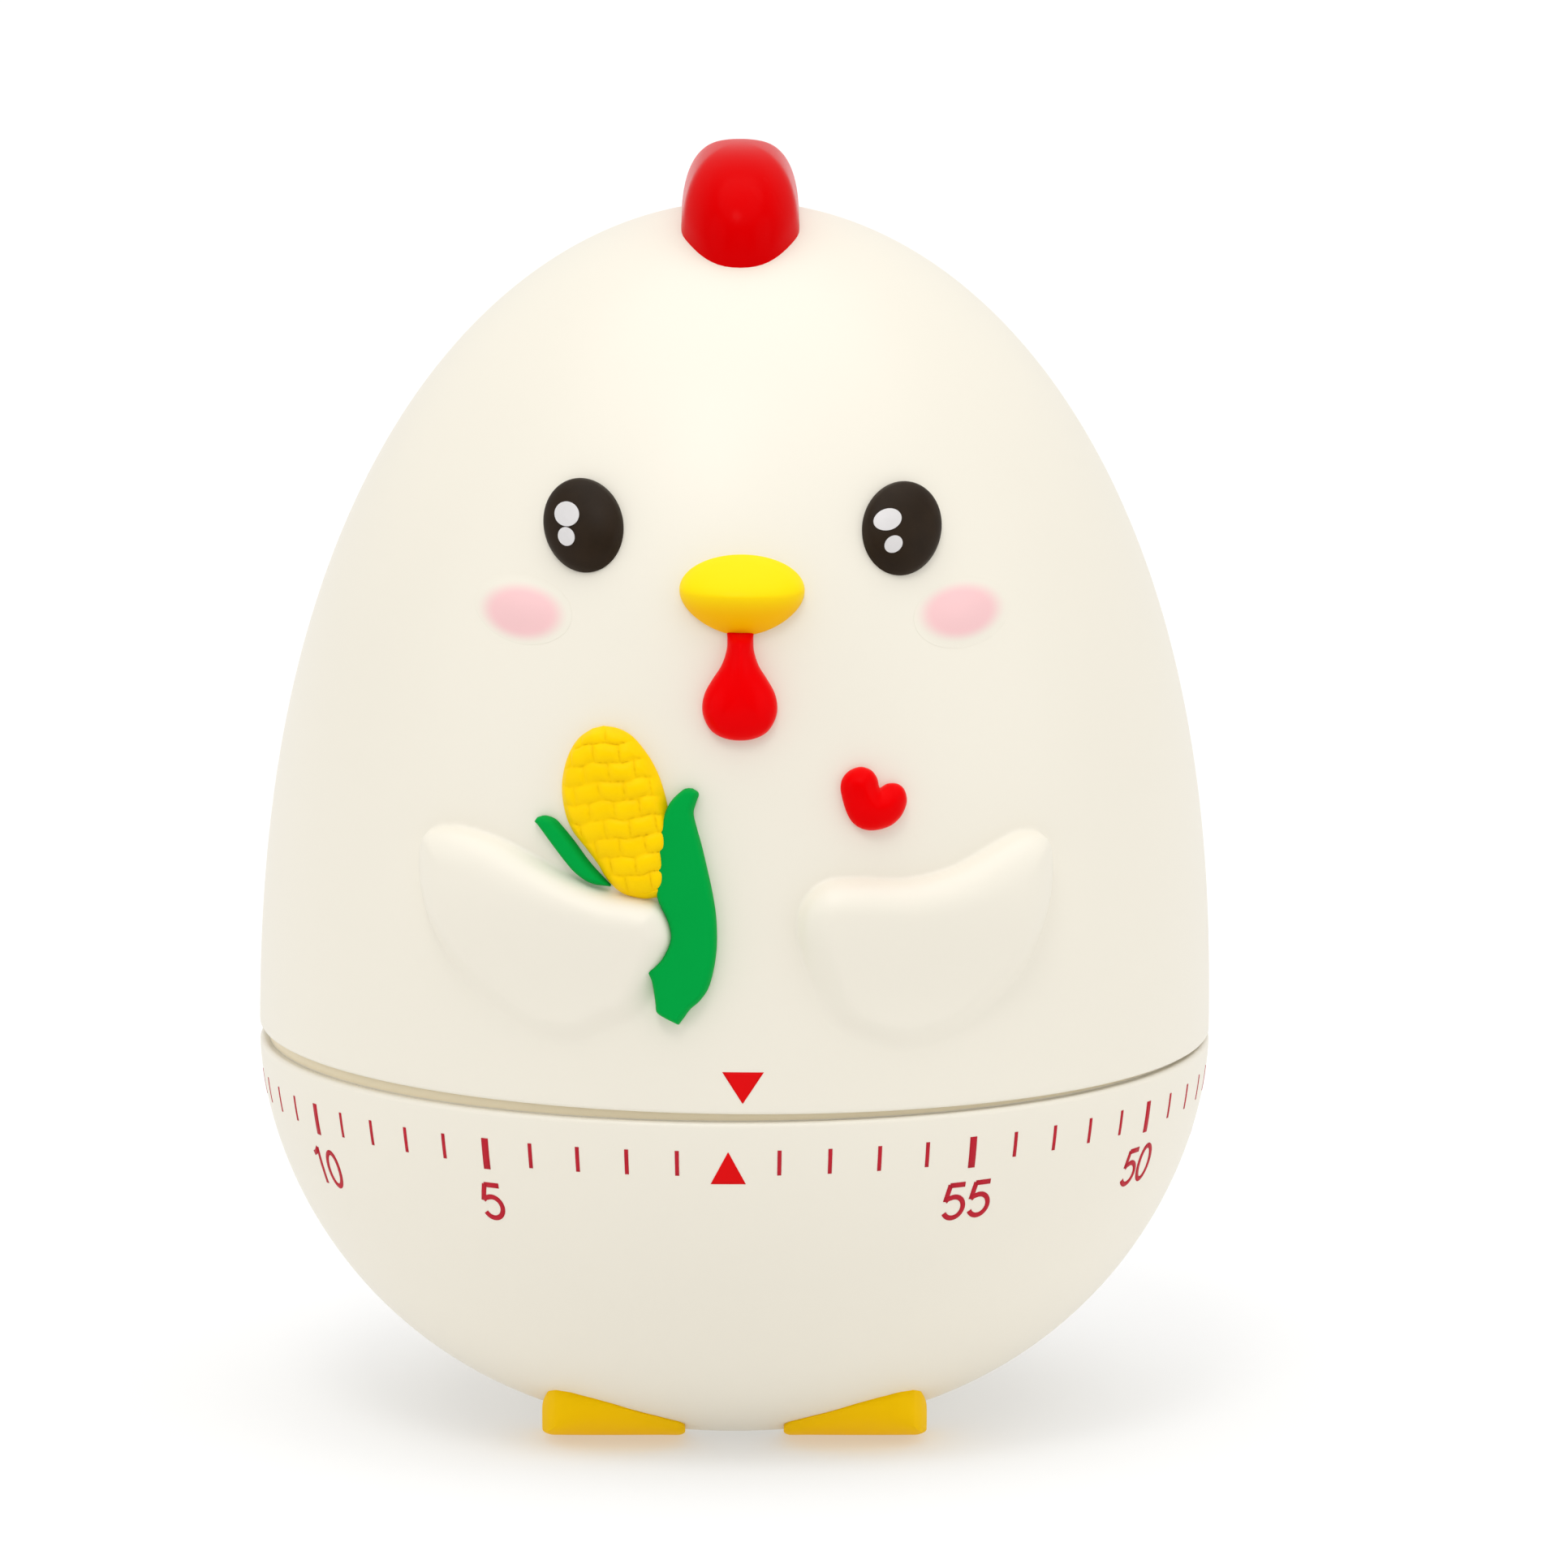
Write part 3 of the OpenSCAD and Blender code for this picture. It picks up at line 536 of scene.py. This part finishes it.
def eye(name, side, tilt):
    cx, cz, a, b = (-9.81 if side < 0 else 9.72), 59.65, 2.44, 2.69
    rings, t = polar_rings(cx, cz, a, b, tilt, 22, 72)
    h = 1.15 * np.sqrt(np.clip(1 - t * t, 0, 1)) + 0.12 * np.clip((1 - t) * 12, 0, 1)
    h = np.repeat(h[:, None], 72, 1)
    verts, faces = pole_slab(rings, h, -0.3, front)
    make(name, verts, faces, eye_brown, "head", ["eye_" + hand(side)], sharp=60)
    glints = ((-0.60, 0.27, 0.76, 0.70), (-0.64, -0.98, 0.52, 0.50)) if side < 0 else (
        (-1.22, 0.28, 0.76, 0.62), (-0.86, -1.12, 0.50, 0.46))
    for i, (dx, dz, ga, gb) in enumerate(glints):
        rings, _ = polar_rings(cx + dx, cz + dz, ga, gb, 0, 8, 40)
        c, s = math.cos(tilt), math.sin(tilt)
        u = (rings[..., 0] - cx) * c + (rings[..., 1] - cz) * s
        v = -(rings[..., 0] - cx) * s + (rings[..., 1] - cz) * c
        rho = np.clip((u / a) ** 2 + (v / b) ** 2, 0, 1)
        hh = 1.15 * np.sqrt(1 - rho) + 0.12 + 0.03
        verts, faces = pole_slab(rings, hh, 0.2, front)
        make(f"{name}_glint_{i + 1}", verts, faces, white_paint, "head")


eye("eye_dome_left", -1, 0.0)
eye("eye_dome_right", 1, math.radians(5.5))


def beak():
    rings, t = polar_rings(0, 0, 1, 1, 0, 40, 112)
    u, v = rings[..., 0], rings[..., 1]
    x = 3.85 * u * np.where(v < 0, 1 - 0.16 * v * v, 1)
    z = 56.3 + np.where(v > 0, v * 2.1, v * 2.62)
    chord = np.sqrt(np.clip(1 - u * u, 1e-6, None))
    s = np.clip(np.abs(v) / chord, 0, 1)  # 0 on the ridge, 1 at the edge
    slope = np.where(v > 0, (1 - s ** 1.7) ** 0.8, (1 - s ** 1.3) ** 0.9)
    out = 2.6 * chord ** 0.9 * slope

    def place(px, pz, h):
        p = on_surface(head_radius, px, pz, np.minimum(h, 0))
        p[..., 1] -= np.maximum(h, 0)
        return head_pose(p)
    verts, faces = pole_slab(np.stack([x - 0.08, z], -1), out, -0.3, place)
    make("beak_bill", verts, faces, beak_paint, "head", ["beak"], sharp=0)


beak()


def strip(left, right, rows, cols):
    """A grid between two edges that run the same way."""
    a, b = resample(left, rows, True), resample(right, rows, True)
    t = (1 - np.cos(np.pi * np.linspace(0, 1, cols))) / 2
    return a[:, None] * (1 - t)[None, :, None] + b[:, None] * t[None, :, None]


def relief(name, left, right, rows, cols, height, mat, replaces, base=-0.3):
    left, right = smooth(left, 6, False), smooth(right, 6, False)
    xz = strip(left, right, rows, cols)
    outline = np.concatenate([left, right[::-1]])
    d = np.clip(edge_distance(xz, outline), 0, None)
    d[0] = d[-1] = 0
    d[:, 0] = d[:, -1] = 0
    verts, faces = slab(xz, height(xz, d), base, front)
    faces = [tuple(reversed(f)) for f in faces]
    make(name, verts, faces, mat, "head", replaces, sharp=0)


def pad(name, line, middle, rows, height, mat, replaces):
    """A pad spread from its middle to a smooth outline."""
    area = np.sum(line[:, 0] * np.roll(line[:, 1], -1) - np.roll(line[:, 0], -1) * line[:, 1])
    if area < 0:
        line = line[::-1]
    t = np.sin(np.linspace(0, math.pi / 2, rows))
    rings = np.array(middle)[None, None] + t[:, None, None] * (line - middle)[None]
    d = np.clip(edge_distance(rings, line), 0, None)
    d[-1] = 0
    h = height(rings, d)
    for _ in range(3):
        h[1:-1] = (h[:-2] + h[2:] + np.roll(h, 1, 1)[1:-1] + np.roll(h, -1, 1)[1:-1] + 2 * h[1:-1]) / 6
    h[0] = h[1].mean()
    verts, faces = pole_slab(rings, h, -0.3, front)
    make(name, verts, faces, mat, "head", replaces, sharp=0)


def wattle():
    half = [(0.95, 47.58), (1.72, 48.0), (2.19, 48.75), (2.3, 49.5), (2.12, 50.3), (1.66, 51.1),
            (1.14, 51.9), (0.84, 52.8), (0.80, 53.5), (0.75, 53.95)]
    line = smooth([(0, 47.45)] + half + [(0, 54.0)] + [(-x, z) for x, z in half[::-1]], 6) - [0.17, 0]

    def height(xz, d):
        full = 0.80 * np.sqrt(np.clip(2.2 ** 2 - (2.2 - np.minimum(d, 2.2)) ** 2, 0, None))
        return full * (1 - 0.75 * ease((xz[..., 1] - 52.9) / 1.1)) + 0.02
    pad("wattle_drop", line, (-0.17, 50.2), 26, height, red, ["wattle"])


wattle()


def cheek(name, side):
    rings, t = polar_rings(13.5 * side, 54.53, 3.0, 2.05, math.radians(4 * side), 18, 64)
    h = 0.40 * (1 - t ** 2) ** 2 + 0.012
    verts, faces = pole_slab(rings, np.repeat(h[:, None], 64, 1), -0.25, front)
    make(name, verts, faces, pink, "head", ["cheek_" + hand(side)], sharp=0)


cheek("cheek_pad_left", -1)
cheek("cheek_pad_right", 1)


# ---------------------------------------------------------------- corn and heart

def corn():
    left = [(-5.2, 37.85), (-6.1, 37.75), (-7.3, 38.05), (-8.2, 38.85), (-8.75, 39.7), (-9.55, 40.7),
            (-10.3, 41.6), (-10.75, 42.6), (-10.98, 43.9), (-10.9, 45.1), (-10.55, 46.3), (-9.95, 47.25),
            (-9.15, 47.85)]
    right = [(-4.5, 37.95), (-4.3, 38.8), (-4.2, 40.5), (-4.25, 42.0), (-4.5, 43.3), (-4.78, 44.4),
             (-5.2, 45.5), (-5.8, 46.5), (-6.7, 47.5), (-7.6, 47.95), (-8.5, 48.05)]

    def height(xz, d):
        x, z = xz[..., 0], xz[..., 1]
        lean = math.radians(9)
        along = (z - 42.5) * math.cos(lean) - (x + 7.4) * math.sin(lean)
        across = (x + 7.4) * math.cos(lean) + (z - 42.5) * math.sin(lean)
        row = along / 1.12 + 0.07 * np.sin(2.3 * across) + 0.03 * np.sin(5.1 * across + along)
        n = np.floor(row)
        col = across / 1.5 + 0.5 * (n % 2) + 0.08 * np.sin(3.1 * n)
        m = np.floor(col)
        fr, fc = np.abs(row - n - 0.5) * 2, np.abs(col - m - 0.5) * 2
        size = 0.85 + 0.15 * np.sin(12.9 * n + 7.8 * m)
        dome = np.sqrt(np.clip(1 - fr ** 2, 0, 1))
        brick = 0.2 + 0.8 * np.sqrt(np.clip(1 - fc ** 4, 0, 1))
        kernel = size * dome * brick
        return 1.1 * rounded(d, 2.2) + 0.33 * kernel * ease(d / 0.6) + 0.02
    relief("corn_kernels", left, right, 190, 100, height, corn_paint, ["corn_cob"])


corn()


def leaves():
    def nudge(line):
        up = np.array(line)[:, 1] - 30
        return np.array(line) + np.stack([-0.11 - 0.010 * up, 0.06 + 0.014 * up], -1)
    left = [(-3.72, 30.08), (-4.5, 30.45), (-4.95, 30.78), (-5.02, 31.3), (-5.12, 32.0), (-5.25, 32.7),
            (-5.5, 33.25), (-5.15, 33.55), (-4.67, 34.0), (-4.28, 34.7), (-4.1, 35.4), (-4.28, 36.3),
            (-4.67, 37.1), (-4.93, 37.8), (-5.02, 39.0), (-4.95, 40.2), (-4.8, 41.4), (-4.54, 42.5),
            (-4.1, 43.44), (-3.37, 44.16), (-3.0, 44.3)]
    right = [(-3.6, 30.05), (-3.3, 30.45), (-2.9, 31.0), (-2.3, 31.55), (-1.8, 32.3), (-1.46, 33.5),
             (-1.28, 34.95), (-1.32, 36.6), (-1.54, 38.06), (-1.86, 39.5), (-2.21, 40.93), (-2.52, 42.0),
             (-2.7, 42.84), (-2.52, 43.5), (-2.38, 44.0), (-2.75, 44.28)]

    def height(xz, d):
        return 0.85 * rounded(d, 0.35) + 0.10 * rounded(d, 1.8)
    relief("leaf_front", nudge(left), nudge(right), 130, 34, height, green, ["corn_leaf_large"])
    left = [(-8.0, 38.4), (-9.1, 38.5), (-10.0, 39.0), (-10.65, 39.65), (-11.5, 40.68), (-12.25, 41.63),
            (-12.6, 42.0)]
    right = [(-7.95, 38.5), (-9.2, 39.75), (-10.2, 41.0), (-10.95, 41.84), (-11.4, 42.26), (-11.98, 42.42),
             (-12.4, 42.3)]

    def thin(xz, d):
        return 0.75 * rounded(d, 0.4) + 0.02
    relief("leaf_back", left, right, 60, 18, thin, green, ["corn_leaf_small"])


leaves()


def heart():
    line = smooth([(7.16, 45.79), (7.6, 45.72), (7.97, 45.5), (8.27, 45.05), (8.42, 44.5), (8.95, 44.72),
                   (9.5, 44.69), (9.9, 44.35), (10.08, 43.75), (9.99, 43.2), (9.66, 42.6), (9.05, 42.13),
                   (8.15, 41.93), (7.4, 42.05), (6.82, 42.45), (6.43, 43.1), (6.16, 43.95), (6.05, 44.6),
                   (6.18, 45.15), (6.58, 45.58)], 6)

    def height(xz, d):
        return 1.35 * rounded(d, 1.6) + 0.02
    pad("heart_pad", line, (8.1, 43.5), 24, height, red, ["heart"])


heart()


# ---------------------------------------------------------------- print: pointer, scale and numbers

def patch(radius, phi, z):
    """A thin closed film of ink over a grid of angles and heights."""
    return closed_sheet(round_point(radius, phi, z, np.full_like(phi, FILM_TOP)),
                        round_point(radius, phi, z, np.full_like(phi, FILM_LOW)))


def triangle(radius, mid, z_base, z_tip, half):
    rows, cols = 8, 9
    t = np.linspace(0, 1, rows)[:, None]
    s = np.linspace(-1, 1, cols)[None]
    z = z_base + (z_tip - z_base) * t + 0 * s
    w = half * (1 - 0.985 * t) * s
    if z_tip < z_base:
        z, w = z[::-1], w[::-1]
    return patch(radius, mid + w / EGG_R, z)


v, f = triangle(head_radius, 0.0, 27.2, 25.25, 1.28)
make("pointer_mark", head_pose(v, POINTER_TURN), f, ink_solid, "head", sharp=0)
v, f = triangle(bowl_radius, 0.0, 20.1, 22.15, 1.1)
make("zero_mark", turn_z(v, ZERO_TURN), f, ink_solid, "base", sharp=0)


def minute_angle(minute):
    a = -math.radians(6 * minute)
    return a + PRINT_SPREAD * math.sin(a)


def print_rise(phi):
    """The print sits a touch askew: it rises to the right."""
    return 0.03 + 0.17 * np.sin(phi)


def scale_marks():
    parts = []
    for minute in range(1, 60):
        mid = minute_angle(minute)
        major = minute % 5 == 0
        half = (0.24 if major else 0.125) / 29.8
        low, high = (20.25, 22.25) if major else (20.6, 22.2)
        phi, z = np.meshgrid(np.linspace(mid - half, mid + half, 3), np.linspace(low, high, 5))
        parts.append(patch(bowl_radius, phi, z + print_rise(phi)))
    verts, faces = joined(parts)
    make("minute_scale", turn_z(verts, ZERO_TURN), faces, ink, "base", sharp=0)


scale_marks()


def stroke(points, width, closed=False):
    """A flat ribbon of ink along a path, as rows of two points."""
    p = np.array(points, float)
    t = np.gradient(p, axis=0)
    if closed:
        t = (np.roll(p, -1, 0) - np.roll(p, 1, 0)) / 2
    t /= np.linalg.norm(t, axis=1, keepdims=True)
    n = np.stack([-t[:, 1], t[:, 0]], -1) * width / 2
    return p - n, p + n


def arc(cx, cy, a, b, start, stop, n=22):
    t = np.radians(np.linspace(start, stop, n))
    return [(cx + a * math.cos(v), cy + b * math.sin(v)) for v in t]


# Each figure is one or more pen strokes in a cell 1 high
FIGURES = {
    "0": [(arc(0.28, 0.5, 0.235, 0.455, 90, 450, 40), True)],
    "1": [([(0.10, 0.78), (0.22, 0.84), (0.33, 0.97)], False),
          ([(0.33, 0.99), (0.33, 0.5), (0.33, 0.01)], False)],
    "2": [(arc(0.28, 0.72, 0.225, 0.24, 165, -25, 20)
           + [(0.42, 0.50), (0.30, 0.36), (0.16, 0.22), (0.07, 0.10)], False),
          ([(0.02, 0.05), (0.28, 0.05), (0.54, 0.05)], False)],
    "3": [(arc(0.27, 0.735, 0.205, 0.215, 160, -80, 20), False),
          (arc(0.27, 0.285, 0.235, 0.24, 85, -165, 24), False)],
    "4": [([(0.40, 0.01), (0.40, 0.5), (0.40, 0.97)], False),
          ([(0.40, 0.95), (0.22, 0.62), (0.04, 0.30)], False),
          ([(0.02, 0.28), (0.28, 0.28), (0.56, 0.28)], False)],
    "5": [([(0.50, 0.94), (0.33, 0.94), (0.14, 0.94)], False),
          ([(0.15, 0.96), (0.11, 0.74), (0.07, 0.50)], False),
          ([(0.07, 0.51), (0.13, 0.575)] + arc(0.28, 0.325, 0.235, 0.29, 110, -150, 26), False)],
}


def numbers():
    height, width, gap = 2.45, 0.67, 0.07
    parts = []
    for minute in range(5, 60, 5):
        text = str(minute)
        total = (len(text) * width + (len(text) - 1) * gap) * height
        for i, digit in enumerate(text):
            left = -total / 2 + i * (width + gap) * height
            for path, closed in FIGURES[digit]:
                p = np.array(path) * height * [width / 0.56, 1]
                if closed:
                    p = p[:-1]
                a, b = stroke(p, 0.33, closed)
                if closed:
                    a, b = np.r_[a, a[:1]], np.r_[b, b[:1]]
                xy = np.stack([a, (a + b) / 2, b], 1)
                phi = minute_angle(minute) + (left + xy[..., 0]) / 29.3
                z = 16.93 + xy[..., 1] * 0.985 + print_rise(phi)
                parts.append(patch(bowl_radius, phi, z))
    verts, faces = joined(parts)
    make("minute_numbers", turn_z(verts, ZERO_TURN), faces, ink, "base", sharp=0)


numbers()


# ---------------------------------------------------------------- bowl and feet

def bowl_height(r):
    """Height of the bowl's outside at a radius."""
    zz = np.linspace(0, RIM_LOW, 400)
    return np.interp(r, bowl_radius(zz), zz)


def bowl():
    z = RIM_LOW - 0.3 - (RIM_LOW - 0.3) * np.linspace(0, 1, 70) ** 1.4
    z = z[::-1]
    z[0] = 0.0
    outer = [(0, 0)] + [(float(bowl_radius(0)) - 0.25, 0)]
    outer += [(float(bowl_radius(v)), float(v)) for v in z if v > 0.06]
    for t in np.linspace(0, math.pi / 2, 5)[1:]:
        outer.append((float(bowl_radius(RIM_LOW - 0.3)) - 0.3 * (1 - math.cos(t)),
                      RIM_LOW - 0.3 + 0.3 * math.sin(t)))
    outer += [(LIP_R, RIM_LOW), (LIP_R, 25.0), (LIP_R - 0.1, 25.1), (28.2, 25.1), (28.1, 25.0)]  # the lip
    inner_side = [(28.1, 22.0), (27.0, 22.0), (27.0, 21.2)]
    zi = np.linspace(20.4, 2.0, 30)
    inner_side += [(float(bowl_radius(v, -WALL)), float(v)) for v in zi] + [(0, 2.0)]
    parts = [lathe(outer + inner_side, 256)]
    for a in LUG_ANGLES:
        v, f = lathe([(1.05, 14.0), (0, 14.0), (0, 8.0), (2.7, 8.0),
                      (2.7, 19.4), (2.5, 19.6), (1.05, 19.6)], 32)
        v = v + np.array([24.3 * math.cos(math.radians(a)), 24.3 * math.sin(math.radians(a)), 0])
        low = v[:, 2] < 8.5  # each post stands on the curve of the bowl
        v[low, 2] = bowl_height(np.hypot(v[low, 0], v[low, 1])) + 0.9
        parts.append((v, f))
    parts.append(lathe([(1.05, 2.6), (0, 2.6), (0, 1.0), (2.4, 1.0),
                        (2.4, 6.2), (2.2, 6.4), (1.05, 6.4)], 32))
    verts, faces = joined(parts)
    make("bowl_shell", verts, faces, bowl_cream, "base", ["lower_shell"], sharp=50)


bowl()


# A foot's front edge across the timer, and how its underside rises outwards
FOOT_X = [3.1, 3.55, 4.85, 6.9, 7.76, 8.92, 10.3, 11.2, 11.7, 12.1]
FOOT_Y = [-13.7, -14.2, -14.9, -15.5, -15.7, -15.65, -15.35, -14.7, -13.9, -12.8]
UNDER_OUT = [9.6, 11.0, 12.0, 13.0, 13.6, 14.4, 15.2, 15.8]
UNDER_UP = [0, 0.2, 0.39, 0.66, 0.98, 1.6, 2.3, 2.9]


def foot(name, side):
    """A toe under the bowl: its top edge lies on the bowl, and its face slants back to the ground."""
    inner_end, outer_end = 0.5, 0.9
    t = np.linspace(0, math.pi / 2, 10)
    xs = np.r_[3.1 + inner_end * (1 - np.cos(t)), np.linspace(3.1 + inner_end, 12.1 - outer_end, 24)[1:-1],
               12.1 - outer_end * (1 - np.sin(t))]
    ins = np.r_[inner_end * (1 - np.sin(t)), np.zeros(22), outer_end * (1 - np.cos(t))]
    loops = []
    for x, i in zip(xs, ins):
        y = float(np.interp(x, FOOT_X, FOOT_Y)) + 0.4 * i
        drop = 1.2 * i if x > 8 else 0.5 * i
        top = float(bowl_height(math.hypot(x, y))) - drop

        def under(v):
            return float(np.interp(-v, UNDER_OUT, UNDER_UP)) + 0.45 * i
        loop = [(-8.6, 0.45 * i)] + [(v, under(v)) for v in np.linspace(-9.6, y + 0.45, 8)]
        low = under(y)
        loop += [(y + 0.16, low + 0.2 * (top - low)), (y + 0.03, low + 0.45 * (top - low)),
                 (y, low + 0.7 * (top - low)), (y + 0.03, top - 0.06), (y + 0.2, top + 0.08)]
        for yy in (-11.5, -10.0, -8.4):
            loop.append((yy, max(float(bowl_height(math.hypot(x, yy))) + 0.25 - drop, under(yy) + 0.2)))
        loops.append([(x * side, a, b) for a, b in loop])
    n = len(loops[0])
    verts = np.array(loops).reshape(-1, 3)
    faces = grid_faces(len(loops), n, wrap=True)
    faces += [tuple(reversed(range(n))), tuple((len(loops) - 1) * n + j for j in range(n))]
    if side > 0:
        faces = [tuple(reversed(f)) for f in faces]
    make(name, verts, faces, ochre, "base", ["foot_" + hand(side)], sharp=50)


foot("foot_pad_left", -1)
foot("foot_pad_right", 1)


# ---------------------------------------------------------------- stage, light and camera

floor = bpy.data.meshes.new("floor")
floor.from_pydata([(-4, -4, 0), (4, -4, 0), (4, 4, 0), (-4, 4, 0)], [], [(0, 1, 2, 3)])
floor_ob = bpy.data.objects.new("floor", floor)
bpy.context.scene.collection.objects.link(floor_ob)
paper = bpy.data.materials.new("paper")
paper.use_nodes = True
paper_shader = paper.node_tree.nodes["Principled BSDF"]
paper_shader.inputs["Base Color"].default_value = (0.58, 0.58, 0.58, 1)
paper_shader.inputs["Roughness"].default_value = 0.9
paper_shader.inputs["Specular IOR Level"].default_value = 0
paper_shader.inputs["Emission Color"].default_value = (1, 1, 1, 1)  # a light table
paper_shader.inputs["Emission Strength"].default_value = 0.365
floor.materials.append(paper)

world = bpy.data.worlds.new("studio")
bpy.context.scene.world = world
world.use_nodes = True
sky = world.node_tree
where = sky.nodes.new("ShaderNodeTexCoord")
parts = sky.nodes.new("ShaderNodeSeparateXYZ")
shade = sky.nodes.new("ShaderNodeMapRange")  # the studio is darker on the camera's side
sky.links.new(where.outputs["Generated"], parts.inputs[0])
sky.links.new(parts.outputs["Y"], shade.inputs["Value"])
shade.inputs["From Min"].default_value = -1
shade.inputs["To Min"].default_value = 0.15
shade.inputs["To Max"].default_value = 0.80
sky.nodes["Background"].inputs["Color"].default_value = (1, 1, 1, 1)
sky.links.new(shade.outputs["Result"], sky.nodes["Background"].inputs["Strength"])


def far_light(name, energy, spread, up, side):
    """A soft light from far away, up degrees above the horizon and side degrees towards +X."""
    light = bpy.data.lights.new(name, "SUN")
    light.energy = energy
    light.angle = math.radians(spread)
    ob = bpy.data.objects.new(name, light)
    ob.rotation_euler = (math.radians(90 - up), 0, math.radians(side))
    bpy.context.scene.collection.objects.link(ob)


far_light("overhead", 1.72, 80, 80, 0)
far_light("left", 0.50, 50, 16, -66)
far_light("right", 0.61, 50, 16, 66)
far_light("front", 0.14, 40, 6, 0)
far_light("spark", 0.38, 16, 58, -14)

VIEW_UP = math.radians(10.24)
VIEW_DISTANCE = 0.9
AIM_HEIGHT = 0.035
FRAME_SHIFT = (0.031574, 0.048499)  # shares of the frame's width
camera = bpy.data.cameras.new("camera")
camera.lens = 326.2
camera.sensor_width = 36
camera.shift_x, camera.shift_y = FRAME_SHIFT
camera.clip_start, camera.clip_end = 0.05, 20
camera_ob = bpy.data.objects.new("camera", camera)
camera_ob.location = (0, -VIEW_DISTANCE * math.cos(VIEW_UP), AIM_HEIGHT + VIEW_DISTANCE * math.sin(VIEW_UP))
camera_ob.rotation_euler = (math.pi / 2 - VIEW_UP, 0, 0)
bpy.context.scene.collection.objects.link(camera_ob)
bpy.context.scene.camera = camera_ob
bpy.context.scene.view_settings.view_transform = "Standard"

bpy.context.view_layer.update()
